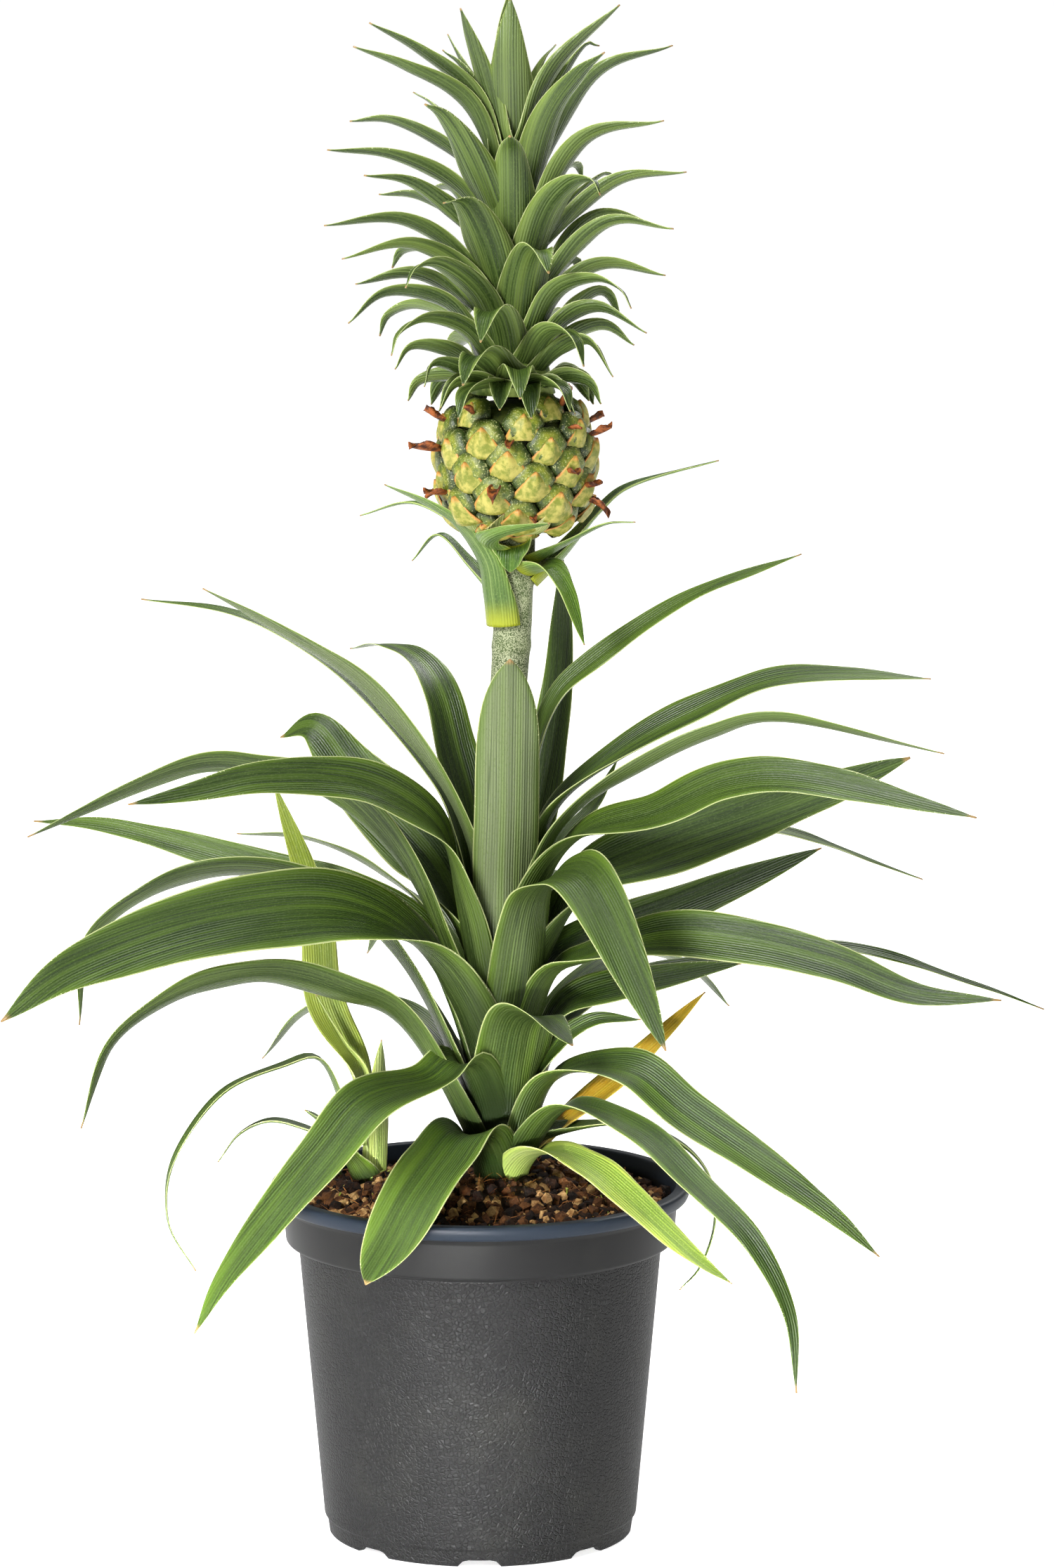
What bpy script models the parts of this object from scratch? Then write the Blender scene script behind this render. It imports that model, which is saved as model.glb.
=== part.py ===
"""A fruiting pineapple plant in its nursery pot.

The origin is the centre of the pot's base, +Z is up and -Y is the plant's front.
Azimuths are in degrees, anticlockwise from +X seen from above.  Every leaf runs
out from a stem in the vertical plane at its azimuth, along a route of
(reach, height) stations in millimetres: reach is the distance from the stem's
axis, height is measured from the ground line, where the stem leaves the soil.
"""
import math

import bmesh
import bpy
import numpy as np
from mathutils import Matrix, Vector, noise

MM = 0.001
GAP = 0.3 * MM                     # left between pieces that touch

# ---- pot: injection-moulded nursery pot -------------------------------------
RIM_RADIUS = 60.0 * MM             # outside of the rolled lip
POT_HEIGHT = 101.5 * MM
WALL = 1.2 * MM
LIP_DEPTH = 4.2 * MM               # height of the rolled lip
LIP_OVERHANG = 3.8 * MM            # lip beyond the smooth band under it
BAND_HEIGHT = 12.0 * MM            # smooth band between the lip and the shoulder
SHOULDER_STEP = 3.6 * MM
BAND_DRAFT = 0.8 * MM
BODY_BOTTOM_RADIUS = 44.7 * MM
FOOT_HEIGHT = 4.8 * MM
FOOT_STEP = 0.7 * MM
FOOT_RING_WIDTH = 2.4 * MM
CHANNEL_RISE = 2.4 * MM            # raised floor between the foot ring and the disc
DISC_RADIUS = 23.0 * MM            # flat centre of the underside
DRAIN_HOLES = 8
DRAIN_HOLE_RADIUS = 3.2 * MM
NOTCHES = 8                        # drain notches through the foot ring
NOTCH_WIDTH = 11.0 * MM
NOTCH_HEIGHT = 2.0 * MM
POT_SIDES = 36

# ---- soil --------------------------------------------------------------------
HEADSPACE = 6.0 * MM               # soil edge below the top of the lip
GROUND_RISE = 1.5 * MM             # ground line at the stem above the top of the lip
SOIL_ROUGHNESS = 0.7 * MM
SOIL_SIDES = 28

# ---- stem and stalk ------------------------------------------------------------
STEM_OFFSET = 6.5 * MM             # the stem grows a little off the pot's centre
STEM_RADIUS = 6.5 * MM             # in the rosette
STALK_RADIUS = 4.9 * MM            # bare stalk above the rosette
STALK_TOP_RADIUS = 5.6 * MM        # just under the fruit
STALK_LEAN = 3.7 * MM              # how far the fruit stands off the stem's foot
ROOT_DEPTH = 9.0 * MM              # stem below the ground line
STALK_START = 95.0 * MM            # above the ground line
STALK_HEIGHT = 185.2 * MM          # underside of the fruit above the ground line

# ---- fruit ---------------------------------------------------------------------
FRUIT_RADIUS = 22.6 * MM
FRUIT_HEIGHT = 39.5 * MM
FRUIT_SQUARENESS = 2.6             # exponent of the barrel outline, 2 is an ellipse
EYES = 62
EYE_BULGE = 1.7 * MM
EYE_SPACING = 5.4 * MM             # half the distance between neighbouring eyes

# ---- crown ---------------------------------------------------------------------
CROWN_CORE_RADIUS = 9.0 * MM
CROWN_CORE_HEIGHT = 84.0 * MM
CROWN_LEAF_THICKNESS = 0.9 * MM
CROWN_LEAF_STATIONS = 5
CROWN_CLASP_RADIUS = 12.0 * MM
CROWN_SHIFT = 0.7 * MM             # the crown stands this much inward of the fruit's axis
CORE_SIDES = 14
DRAWN_CORE_RADIUS = 9.0 * MM       # the crown's routes are drawn round this size

# ---- leaves --------------------------------------------------------------------
LEAF_THICKNESS = 0.8 * MM
LEAF_STATIONS = 8                  # rows of a leaf's mesh along its length
BROAD_LEAF = 13                    # a leaf this wide has BROAD_LANES strips across it
BROAD_LANES = 4
NARROW_LANES = 2
CLASP_LIMIT = math.radians(75.0)   # how far a leaf's base wraps each way round its stem
CHANNEL = math.radians(24.0)       # the blade's cross-section is an arc of twice this
SHOOT_CLASP_RADIUS = 6.0 * MM
TIP_WIDTH = 0.7 * MM
BASE_SHARE = 0.42                  # width at the clasping base, of the full width
DRAWN_RIM_RADIUS = 60.0 * MM       # the routes below are drawn to these four sizes
DRAWN_STEM_RADIUS = 6.5 * MM
DRAWN_FRUIT_RADIUS = 22.6 * MM
DRAWN_LEAF_THICKNESS = 0.8 * MM
LEAF_PITCH = 1.0                   # millimetres of stem that each layer of leaf bases takes up
GOLDEN_ANGLE = math.pi * (3.0 - math.sqrt(5.0))

GROUND = POT_HEIGHT + GROUND_RISE
FRUIT_AXIS = STEM_OFFSET + STALK_LEAN
FRUIT_BASE = GROUND + STALK_HEIGHT
CROWN_AXIS = FRUIT_AXIS - CROWN_SHIFT
CROWN_BASE = FRUIT_BASE + FRUIT_HEIGHT + GAP

# name, azimuth, sideways turn at the tip, width, twist, route; the twist is about
# the midline, positive lifts the blade's anticlockwise edge
ROSETTE = (
    ("leaf_front_1", 246, 0, 19, -10, ((8, 2), (16, 13), (27, 17), (43, 12), (60, 5), (75, -4), (91, -12))),
    ("leaf_front_2", 305, 0, 11, 25, ((8, 2), (16, 9), (29, 12), (46, 10), (62, 5), (93, -6), (110, -10))),
    ("leaf_front_3", 315, 0, 10, 30,
     ((8, 4), (26, 24), (55, 21), (76, 10), (98, -3), (112, -21), (115, -43))),
    ("leaf_front_4", 231, 0, 17, -35,
     ((8, 19), (17, 35), (30, 32), (58, 31), (79, 19), (117, -6), (132, -21))),
    ("leaf_front_5", 331, 0, 15, 45, ((8, 8), (17, 30), (41, 35), (61, 24), (101, 3), (120, -10))),
    ("leaf_front_6", 285, 15, 22, 0, ((8, 22), (13, 37), (20, 49), (30, 51), (40, 45))),
    ("leaf_front_7", 299, 0, 19, 30, ((8, 42), (13, 60), (20, 84), (35, 93), (52, 91), (80, 66), (93, 53))),
    ("leaf_front_8", 277, 0, 18, 0, ((8, 64), (9, 86), (14, 108), (18, 138), (20, 152))),
    ("leaf_left_1", 202, 0, 13, 50,
     ((8, 8), (29, 46), (48, 57), (72, 64), (97, 60), (117, 47), (126, 24))),
    ("leaf_left_2", 202, 0, 24, -62,
     ((8, 34), (15, 53), (28, 71), (53, 81), (91, 79), (128, 69), (149, 56))),
    ("leaf_left_3", 180, 0, 12, 45,
     ((8, 16), (18, 44), (31, 66), (49, 83), (73, 89), (97, 84), (117, 68), (120, 44))),
    ("leaf_left_4", 157, 0, 13, -50,
     ((8, 25), (15, 49), (26, 70), (50, 80), (78, 85), (122, 93), (148, 93))),
    ("leaf_left_5", 209, 0, 16, -60,
     ((8, 50), (14, 83), (21, 103), (44, 117), (74, 121), (96, 119), (117, 117))),
    ("leaf_left_6", 187, 0, 13, 50,
     ((8, 42), (18, 71), (30, 95), (48, 113), (68, 119), (91, 119), (134, 101))),
    ("leaf_left_7", 146, 0, 23, -50, ((8, 56), (11, 66), (23, 88), (51, 111), (65, 124), (77, 120))),
    ("leaf_left_8", 184, 0, 11, 35, ((8, 80), (9, 96), (19, 117), (40, 143), (66, 160), (84, 170))),
    ("leaf_left_9", 160, 0, 9, -15, ((8, 67), (13, 98), (23, 118), (50, 144), (80, 158), (110, 161))),
    ("leaf_left_10", 145, 0, 8, 30, ((8, 40), (21, 70), (43, 84), (68, 91), (94, 90))),
    ("leaf_back_1", 120, 0, 15, 0,
     ((8, 62), (16, 99), (27, 120), (35, 134), (46, 142), (65, 145), (89, 141))),
    ("leaf_back_2", 55, 0, 15, 0, ((8, 66), (17, 97), (25, 122), (30, 150), (30, 177))),
    ("leaf_back_3", 93, 0, 13, 0, ((8, 50), (15, 75), (26, 97), (45, 106), (68, 108), (88, 98))),
    ("leaf_back_4", 75, 0, 13, 0, ((8, 34), (16, 54), (33, 70), (56, 78), (82, 72), (100, 58))),
    ("leaf_back_5", 112, 0, 14, 0, ((8, 26), (16, 46), (35, 62), (60, 70), (88, 62), (108, 46))),
    ("leaf_back_6", 50, 0, 12, 0, ((8, 18), (16, 34), (34, 50), (60, 56), (86, 48), (104, 34))),
    ("leaf_back_7", 135, 0, 12, 0, ((8, 12), (16, 27), (34, 40), (58, 44), (82, 36), (100, 20))),
    ("leaf_back_8", 46, 0, 9, 0, ((8, 63), (18, 88), (38, 103), (48, 115))),
    ("leaf_right_1", 5, 0, 9, 35, ((8, 92), (10, 120), (15, 137), (26, 148), (53, 166), (85, 178))),
    ("leaf_right_2", 355, 0, 14, 30,
     ((8, 81), (15, 106), (34, 123), (55, 135), (76, 144), (98, 146), (121, 145))),
    ("leaf_right_3", 346, 0, 9, -35,
     ((8, 71), (13, 94), (23, 108), (39, 119), (60, 130), (82, 135), (127, 127))),
    ("leaf_right_4", 3, 0, 20, 58, ((8, 50), (12, 62), (24, 84), (42, 93), (79, 106), (116, 120))),
    ("leaf_right_5", 335, 0, 16, 50,
     ((8, 64), (12, 83), (24, 100), (47, 108), (71, 119), (96, 121), (144, 114))),
    ("leaf_right_6", 42, 0, 7, 30, ((8, 58), (21, 72), (43, 89), (67, 91), (108, 88), (169, 66))),
    ("leaf_right_7", 24, 0, 15, 58, ((8, 39), (16, 61), (37, 69), (59, 75), (101, 88))),
    ("leaf_right_8", 338, 0, 16, 60,
     ((8, 34), (15, 58), (26, 65), (49, 73), (75, 73), (100, 69), (124, 62), (149, 62))),
    ("leaf_right_9", 25, 0, 6, 40,
     ((8, 10), (18, 40), (41, 54), (65, 57), (109, 58), (154, 43), (176, 34))),
    ("leaf_right_10", 8, 0, 12, 50, ((8, 30), (14, 43), (24, 52), (55, 58), (69, 60))),
    ("leaf_right_11", 350, 0, 9, 40, ((8, 17), (14, 36), (26, 46), (40, 47))),
    ("leaf_right_12", 22, 0, 9, 40, ((8, 3), (19, 14), (38, 28), (51, 39), (63, 49))),
    ("leaf_right_13", 4, 0, 4, 0,
     ((8, 9), (31, 15), (49, 10), (59, 0), (61, -14), (57, -27), (51, -34))),
)

# the same columns, for a young side shoot in the soil beside the stem
SHOOT_OFFSET = (-31.0 * MM, 4.0 * MM)
SIDE_SHOOT = (
    ("shoot_leaf_1", 200, 0, 17, 0, ((5, -1), (9, 8), (14, 15), (20, 20))),
    ("shoot_leaf_2", 178, 0, 4, 0, ((9, 0), (14, 10), (22, 14), (30, 15), (38, 11), (44, 3))),
    ("shoot_leaf_3", 197, 0, 4, 0,
     ((3, -3), (8, 18), (15, 34), (26, 33), (44, 26), (58, 8), (60, -10), (52, -25))),
    ("shoot_leaf_4", 163, 0, 12, -75, ((3, 9), (5, 30), (14, 50), (17, 78), (29, 112))),
    ("shoot_leaf_5", 192, 0, 5, 0, ((1, -2), (1, 27), (8, 39), (16, 53))),
    ("shoot_leaf_6", 300, 0, 8, 0, ((3, 1), (4, 20), (6, 40))),
)

# small leaves on the stalk and the bracts under the fruit
STALK_LEAVES = (
    ("stalk_leaf_1", 185, 0, 9, 0, ((7, 159), (8, 168), (10, 178), (17, 188), (25, 194), (36, 199))),
    ("stalk_leaf_2", 145, 0, 5, 0, ((6, 179), (17, 185), (35, 191), (54, 186))),
    ("stalk_leaf_3", 151, 0, 4, 0, ((6, 167), (14, 175), (24, 183), (33, 175))),
    ("stalk_leaf_4", 12, 0, 7, 0, ((6, 170), (14, 178), (25, 191), (35, 198), (59, 204))),
    ("stalk_leaf_5", 335, 0, 4, 0, ((6, 177), (18, 184), (28, 189), (37, 190))),
    ("stalk_leaf_6", 314, 0, 7, 0, ((6, 174), (14, 176), (20, 171), (24, 164), (28, 156))),
    ("stalk_leaf_7", 262, 0, 8, 0, ((7, 182), (9, 180), (10, 175))),
    ("stalk_leaf_8", 215, 75, 5, 0, ((7, 180), (15, 184), (22, 188), (28, 191))),
)

# azimuth, width, route: heights are above the underside of the crown
CROWN_LEAVES = (
    (262, 14, ((1, 64), (6, 92), (5, 110))),
    (195, 9, ((2, 66), (9, 88), (15, 107))),
    (186, 5, ((2, 60), (11, 82), (26, 95), (40, 103))),
    (197, 6, ((3, 56), (13, 80), (31, 91), (46, 97))),
    (228, 12, ((3, 42), (18, 66), (28, 78), (36, 82))),
    (172, 4, ((3, 54), (18, 67), (34, 75), (46, 75))),
    (188, 5, ((4, 42), (16, 57), (34, 66), (52, 68))),
    (207, 6, ((4, 34), (14, 46), (31, 59), (46, 62))),
    (160, 4, ((4, 42), (27, 53), (40, 54))),
    (236, 14, ((5, 24), (14, 42), (24, 54), (34, 55))),
    (188, 5, ((5, 28), (16, 39), (32, 48), (53, 47))),
    (205, 5, ((5, 22), (15, 34), (32, 42), (52, 39))),
    (180, 4, ((6, 20), (26, 32), (44, 30))),
    (228, 10, ((6, 13), (15, 28), (30, 37), (40, 37), (44, 32))),
    (193, 4, ((7, 12), (20, 25), (36, 28), (47, 20))),
    (222, 8, ((7, 7), (18, 18), (32, 22), (42, 19), (45, 13))),
    (195, 4, ((7, 5), (18, 11), (29, 13), (34, 7))),
    (215, 4, ((7, 3), (18, 7), (27, 9), (30, 3))),
    (150, 4, ((1, 68), (15, 89), (21, 99))),
    (168, 4, ((1, 63), (13, 88), (20, 95))),
    (268, 15, ((4, 34), (10, 55), (15, 68), (22, 73))),
    (287, 14, ((5, 14), (12, 31), (20, 40), (28, 41), (34, 36))),
    (255, 13, ((7, 6), (14, 18), (22, 24), (29, 23), (34, 17))),
    (247, 12, ((7, 3), (16, 9), (24, 12), (31, 10), (35, 5))),
    (274, 10, ((7, 2), (16, 6), (22, 8), (28, 5), (30, 1))),
    (303, 9, ((7, 6), (16, 16), (24, 19), (32, 17), (36, 10))),
    (352, 5, ((1, 66), (12, 90), (30, 108))),
    (45, 5, ((1, 68), (11, 90), (17, 96))),
    (15, 4, ((1, 64), (19, 94), (25, 96))),
    (318, 11, ((3, 44), (12, 74), (24, 89), (34, 96))),
    (350, 5, ((3, 52), (22, 87), (45, 97))),
    (335, 6, ((4, 42), (21, 70), (46, 77))),
    (350, 5, ((4, 36), (28, 58), (49, 62))),
    (312, 12, ((4, 28), (14, 50), (24, 59), (33, 61), (36, 57))),
    (28, 4, ((4, 38), (26, 58), (33, 59))),
    (338, 5, ((5, 24), (27, 47), (48, 47))),
    (2, 4, ((5, 28), (23, 48), (41, 46))),
    (352, 4, ((5, 22), (24, 35), (43, 33))),
    (318, 7, ((6, 12), (16, 28), (30, 33), (40, 31), (44, 26))),
    (35, 4, ((6, 22), (20, 35), (23, 31))),
    (10, 4, ((7, 13), (24, 27), (31, 20))),
    (335, 5, ((7, 9), (16, 20), (27, 24), (41, 18))),
    (358, 4, ((7, 10), (24, 18), (34, 13))),
    (325, 5, ((7, 4), (16, 12), (26, 15), (34, 6))),
)
BACK_TWIN_WIDTH = 8                # crown leaves this wide have a twin on the back
BACK_TWIN_TURN = 9                 # degrees past the mirrored azimuth


# ---- helpers -------------------------------------------------------------------
def clear_scene():
    for obj in list(bpy.data.objects):
        bpy.data.objects.remove(obj, do_unlink=True)


def make_collection(name):
    collection = bpy.data.collections.new(name)
    bpy.context.scene.collection.children.link(collection)
    return collection


def make_material(name, colour, roughness):
    material = bpy.data.materials.new(name)
    material.use_nodes = True
    shader = material.node_tree.nodes["Principled BSDF"]
    shader.inputs["Base Color"].default_value = (*colour, 1.0)
    shader.inputs["Roughness"].default_value = roughness
    shader.inputs["Metallic"].default_value = 0.0
    return material


def add_object(name, data, material, collection):
    obj = bpy.data.objects.new(name, data)
    collection.objects.link(obj)
    if not data.materials:
        data.materials.append(material)
    return obj


def bake(obj):
    """Replace an object's data with its evaluated mesh."""
    bpy.context.view_layer.update()
    graph = bpy.context.evaluated_depsgraph_get()
    mesh = bpy.data.meshes.new_from_object(obj.evaluated_get(graph))
    obj.modifiers.clear()
    obj.data = mesh


def cut(obj, cutter):
    """Take a closed cutter, kept hidden, out of an object."""
    cutter.hide_render = True
    cutter.display_type = "WIRE"
    modifier = obj.modifiers.new(cutter.name, "BOOLEAN")
    modifier.operation = "DIFFERENCE"
    modifier.object = cutter
    modifier.solver = "EXACT"


def profile_mesh(name, outline):
    """An open outline of (radius, height) points in the XZ plane."""
    mesh = bpy.data.meshes.new(name)
    points = [(radius, 0.0, height) for radius, height in outline]
    mesh.from_pydata(points, [(i, i + 1) for i in range(len(points) - 1)], [])
    return mesh


def turned(name, outline, sides, material, collection):
    """A solid of revolution: the outline runs down the outside and back up the inside."""
    obj = add_object(name, profile_mesh(name, outline), material, collection)
    screw = obj.modifiers.new("turn", "SCREW")
    screw.steps = sides
    screw.render_steps = sides
    screw.use_merge_vertices = True
    screw.merge_threshold = 0.01 * MM
    screw.use_smooth_shade = True
    return obj


def smoothstep(low, high, value):
    share = min(max((value - low) / (high - low), 0.0), 1.0)
    return share * share * (3.0 - 2.0 * share)


def smooth_route(stations, count):
    """Evenly spaced points on a Catmull-Rom curve through the stations."""
    knots = [Vector(station) for station in stations]
    knots = [2.0 * knots[0] - knots[1]] + knots + [2.0 * knots[-1] - knots[-2]]
    dense = []
    for a, b, c, d in zip(knots, knots[1:], knots[2:], knots[3:]):
        for step in range(12):
            t = step / 12.0
            dense.append(0.5 * (2.0 * b + (c - a) * t + (2.0 * a - 5.0 * b + 4.0 * c - d) * t ** 2
                                + (3.0 * b - 3.0 * c + d - a) * t ** 3))
    dense.append(knots[-2])
    dense = np.array([point[:] for point in dense])
    travel = np.concatenate([[0.0], np.cumsum(np.linalg.norm(np.diff(dense, axis=0), axis=1))])
    marks = np.linspace(0.0, travel[-1], count)
    return [Vector([np.interp(mark, travel, dense[:, axis]) for axis in range(3)]) for mark in marks]


def blade_width(share, full_width, base_share):
    """Width at a share of the length: a clasping base, a long even blade, a fine tip."""
    swell = base_share + (1.0 - base_share) * smoothstep(0.0, 0.3, share)
    taper = (1.0 - share ** 2.6) ** 0.9
    return max(full_width * swell * taper, TIP_WIDTH)


def leaf_surface(name, route, azimuth, width, twist, stations, lanes, clasp_radius, base_share):
    """The open middle surface of a leaf, a channel that clasps at its base."""
    points = smooth_route(route, stations)
    side = Vector((-math.sin(azimuth), math.cos(azimuth), 0.0))
    mesh = bpy.data.meshes.new(name)
    verts, faces = [], []
    for row, point in enumerate(points):
        ahead = points[min(row + 1, stations - 1)] - points[max(row - 1, 0)]
        tangent = ahead.normalized()
        side = (side - tangent * side.dot(tangent)).normalized()
        share = row / (stations - 1)
        turn = math.radians(twist) * smoothstep(0.12, 0.5, share)
        normal = tangent.cross(side)
        across = side * math.cos(turn) + normal * math.sin(turn)
        up = tangent.cross(across)
        half = 0.5 * blade_width(share, width, base_share)
        clasp = min(half / clasp_radius, CLASP_LIMIT)
        cup = clasp + (CHANNEL - clasp) * smoothstep(0.0, 0.4, share)
        cup *= 1.0 - 0.7 * smoothstep(0.6, 1.0, share)
        radius = half / cup
        for lane in range(lanes + 1):
            angle = cup * (2.0 * lane / lanes - 1.0)
            verts.append(point + across * radius * math.sin(angle) + up * radius * (1.0 - math.cos(angle)))
    for row in range(stations - 1):
        for lane in range(lanes):
            a = row * (lanes + 1) + lane
            b = a + lanes + 1
            faces.append((a, b, b + 1, a + 1))
    mesh.from_pydata(verts, [], faces)
    mesh.shade_smooth()
    return mesh


def thicken(obj, thickness):
    solidify = obj.modifiers.new("thickness", "SOLIDIFY")
    solidify.thickness = thickness
    solidify.offset = 0.0


def stalk_axis(height):
    """How far the stem's axis stands from its foot at a height above the ground line."""
    return STEM_OFFSET + STALK_LEAN * smoothstep(STALK_START, STALK_HEIGHT, height)


def place_route(route, azimuth, turn, foot, grown, spread, stack):
    """Stations of a route in the pot's frame; foot is the axis it starts from.

    spread is how far stations beyond its last reach move out, and the two reaches it eases
    over.  stack is how much each millimetre of height at the leaf's foot lifts the leaf.
    """
    outward, ease_start, ease_end = spread
    lift = stack * route[0][1]
    placed = []
    longest = max(reach for reach, height in route) or 1
    for reach, height in route:
        angle = math.radians(azimuth + turn * (reach / longest) ** 2)
        reach = reach * MM + grown
        reach += outward * smoothstep(ease_start, ease_end, reach)
        placed.append(Vector((foot[0] + reach * math.cos(angle), foot[1] + reach * math.sin(angle),
                              GROUND + height * MM + lift)))
    return placed


# ---- pot -----------------------------------------------------------------------
def pot_radii():
    """Outside radii of the band, the body under the shoulder and the foot."""
    band_top = RIM_RADIUS - LIP_OVERHANG
    band_bottom = band_top - BAND_DRAFT
    body_top = band_bottom - SHOULDER_STEP
    return band_top, band_bottom, body_top


def pot_levels():
    lip_bottom = POT_HEIGHT - LIP_DEPTH
    shoulder = lip_bottom - BAND_HEIGHT
    return lip_bottom, shoulder


def inner_wall():
    """The inside of the pot, from the lip's inner edge down to the floor's centre."""
    band_top, band_bottom, body_top = pot_radii()
    lip_bottom, shoulder = pot_levels()
    floor = CHANNEL_RISE + WALL
    return (
        (band_top - 0.2 * MM, POT_HEIGHT),
        (band_top - WALL, lip_bottom + 1.0 * MM),
        (band_bottom - WALL, shoulder + WALL),
        (body_top - WALL, shoulder - 0.6 * MM),
        (BODY_BOTTOM_RADIUS - WALL, FOOT_HEIGHT + 0.6 * MM),
        (BODY_BOTTOM_RADIUS - FOOT_STEP - WALL - 0.5 * MM, floor),
        (DISC_RADIUS + 2.2 * MM, floor),
        (DISC_RADIUS - 0.4 * MM, WALL),
        (0.0, WALL),
    )


def outer_wall():
    """The outside of the pot, from the lip's top down to the underside's centre."""
    band_top, band_bottom, body_top = pot_radii()
    lip_bottom, shoulder = pot_levels()
    foot_radius = BODY_BOTTOM_RADIUS - FOOT_STEP
    foot_inner = foot_radius - 0.9 * MM - FOOT_RING_WIDTH
    return (
        (RIM_RADIUS - 1.3 * MM, POT_HEIGHT),
        (RIM_RADIUS - 0.3 * MM, POT_HEIGHT - 0.7 * MM),
        (RIM_RADIUS, POT_HEIGHT - 1.8 * MM),
        (RIM_RADIUS - 0.2 * MM, POT_HEIGHT - 3.2 * MM),
        (RIM_RADIUS - 1.1 * MM, lip_bottom),
        (band_top + 0.7 * MM, lip_bottom - 0.2 * MM),
        (band_top + 0.6 * MM, lip_bottom - 1.2 * MM),
        (band_top, lip_bottom - 1.6 * MM),
        (band_bottom, shoulder + 1.0 * MM),
        (band_bottom - 0.7 * MM, shoulder + 0.2 * MM),
        (body_top + 0.5 * MM, shoulder - 0.3 * MM),
        (body_top, shoulder - 1.2 * MM),
        (BODY_BOTTOM_RADIUS, FOOT_HEIGHT + 0.5 * MM),
        (foot_radius, FOOT_HEIGHT),
        (foot_radius - 0.5 * MM, 0.6 * MM),
        (foot_radius - 0.9 * MM, 0.0),
        (foot_inner, 0.0),
        (foot_inner - 0.4 * MM, CHANNEL_RISE),
        (DISC_RADIUS + 1.4 * MM, CHANNEL_RISE),
        (DISC_RADIUS, 0.0),
        (0.0, 0.0),
    )


def build_pot(material, parts, cutters):
    outline = tuple(reversed(inner_wall())) + outer_wall()
    pot = turned("pot", outline, POT_SIDES, material, parts)
    bake(pot)
    foot_radius = BODY_BOTTOM_RADIUS - FOOT_STEP
    channel_middle = 0.5 * (DISC_RADIUS + 1.4 * MM + foot_radius - 0.9 * MM - FOOT_RING_WIDTH - 0.4 * MM)
    bm = bmesh.new()
    for index in range(DRAIN_HOLES):
        angle = 2.0 * math.pi * (index + 0.5) / DRAIN_HOLES
        hole = bmesh.ops.create_cone(bm, cap_ends=True, segments=12, radius1=DRAIN_HOLE_RADIUS,
                                     radius2=DRAIN_HOLE_RADIUS, depth=4.0 * WALL)
        bmesh.ops.translate(bm, verts=hole["verts"],
                            vec=(channel_middle * math.cos(angle), channel_middle * math.sin(angle),
                                 CHANNEL_RISE + 0.5 * WALL))
    for index in range(NOTCHES):
        angle = 2.0 * math.pi * index / NOTCHES - 0.5 * math.pi
        notch = bmesh.ops.create_cone(bm, cap_ends=True, segments=8, radius1=0.5 * NOTCH_WIDTH,
                                      radius2=0.36 * NOTCH_WIDTH, depth=2.0 * NOTCH_HEIGHT)
        bmesh.ops.rotate(bm, verts=notch["verts"], cent=(0.0, 0.0, 0.0),
                         matrix=Matrix.Rotation(math.pi / 8, 3, "Z"))
        bmesh.ops.translate(bm, verts=notch["verts"],
                            vec=(foot_radius * math.cos(angle), foot_radius * math.sin(angle), 0.0))
    mesh = bpy.data.meshes.new("drainage")
    bm.to_mesh(mesh)
    bm.free()
    cutter = bpy.data.objects.new("drainage", mesh)
    cutters.objects.link(cutter)
    cut(pot, cutter)


# ---- soil ----------------------------------------------------------------------
def soil_height(radius):
    """Mounded surface: the ground line at the stem, the headspace at the wall."""
    edge = POT_HEIGHT - HEADSPACE
    return GROUND + (edge - GROUND) * smoothstep(12.0 * MM, RIM_RADIUS - 8.0 * MM, radius)


def build_soil(material, parts, cutters):
    wall = [(radius - GAP, height) for radius, height in inner_wall()]
    edge = POT_HEIGHT - HEADSPACE
    (upper, lower) = wall[1], wall[2]
    share = (upper[1] - edge) / (upper[1] - lower[1])
    edge_radius = upper[0] + (lower[0] - upper[0]) * share
    below = [(radius, height + GAP) for radius, height in wall[2:-1]] + [(0.0, WALL + GAP)]
    rings = 7
    surface = [(edge_radius * index / rings, soil_height(edge_radius * index / rings))
               for index in range(rings + 1)]
    soil = turned("soil", surface + below, SOIL_SIDES, material, parts)
    bake(soil)
    for vertex in soil.data.vertices:
        radius = math.hypot(vertex.co.x, vertex.co.y)
        if vertex.co.z > edge - MM and radius < edge_radius - MM:
            vertex.co.z += SOIL_ROUGHNESS * noise.noise(vertex.co / (6.0 * MM))
    hole_radius = STEM_RADIUS + 2.0 * GAP
    bm = bmesh.new()
    depth = ROOT_DEPTH + 12.0 * MM
    bmesh.ops.create_cone(bm, cap_ends=True, segments=24, radius1=hole_radius, radius2=hole_radius,
                          depth=depth)
    bmesh.ops.translate(bm, verts=bm.verts,
                        vec=(STEM_OFFSET, 0.0, GROUND - ROOT_DEPTH - GAP + 0.5 * depth))
    mesh = bpy.data.meshes.new("stem_socket")
    bm.to_mesh(mesh)
    bm.free()
    cutter = bpy.data.objects.new("stem_socket", mesh)
    cutters.objects.link(cutter)
    cut(soil, cutter)


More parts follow.
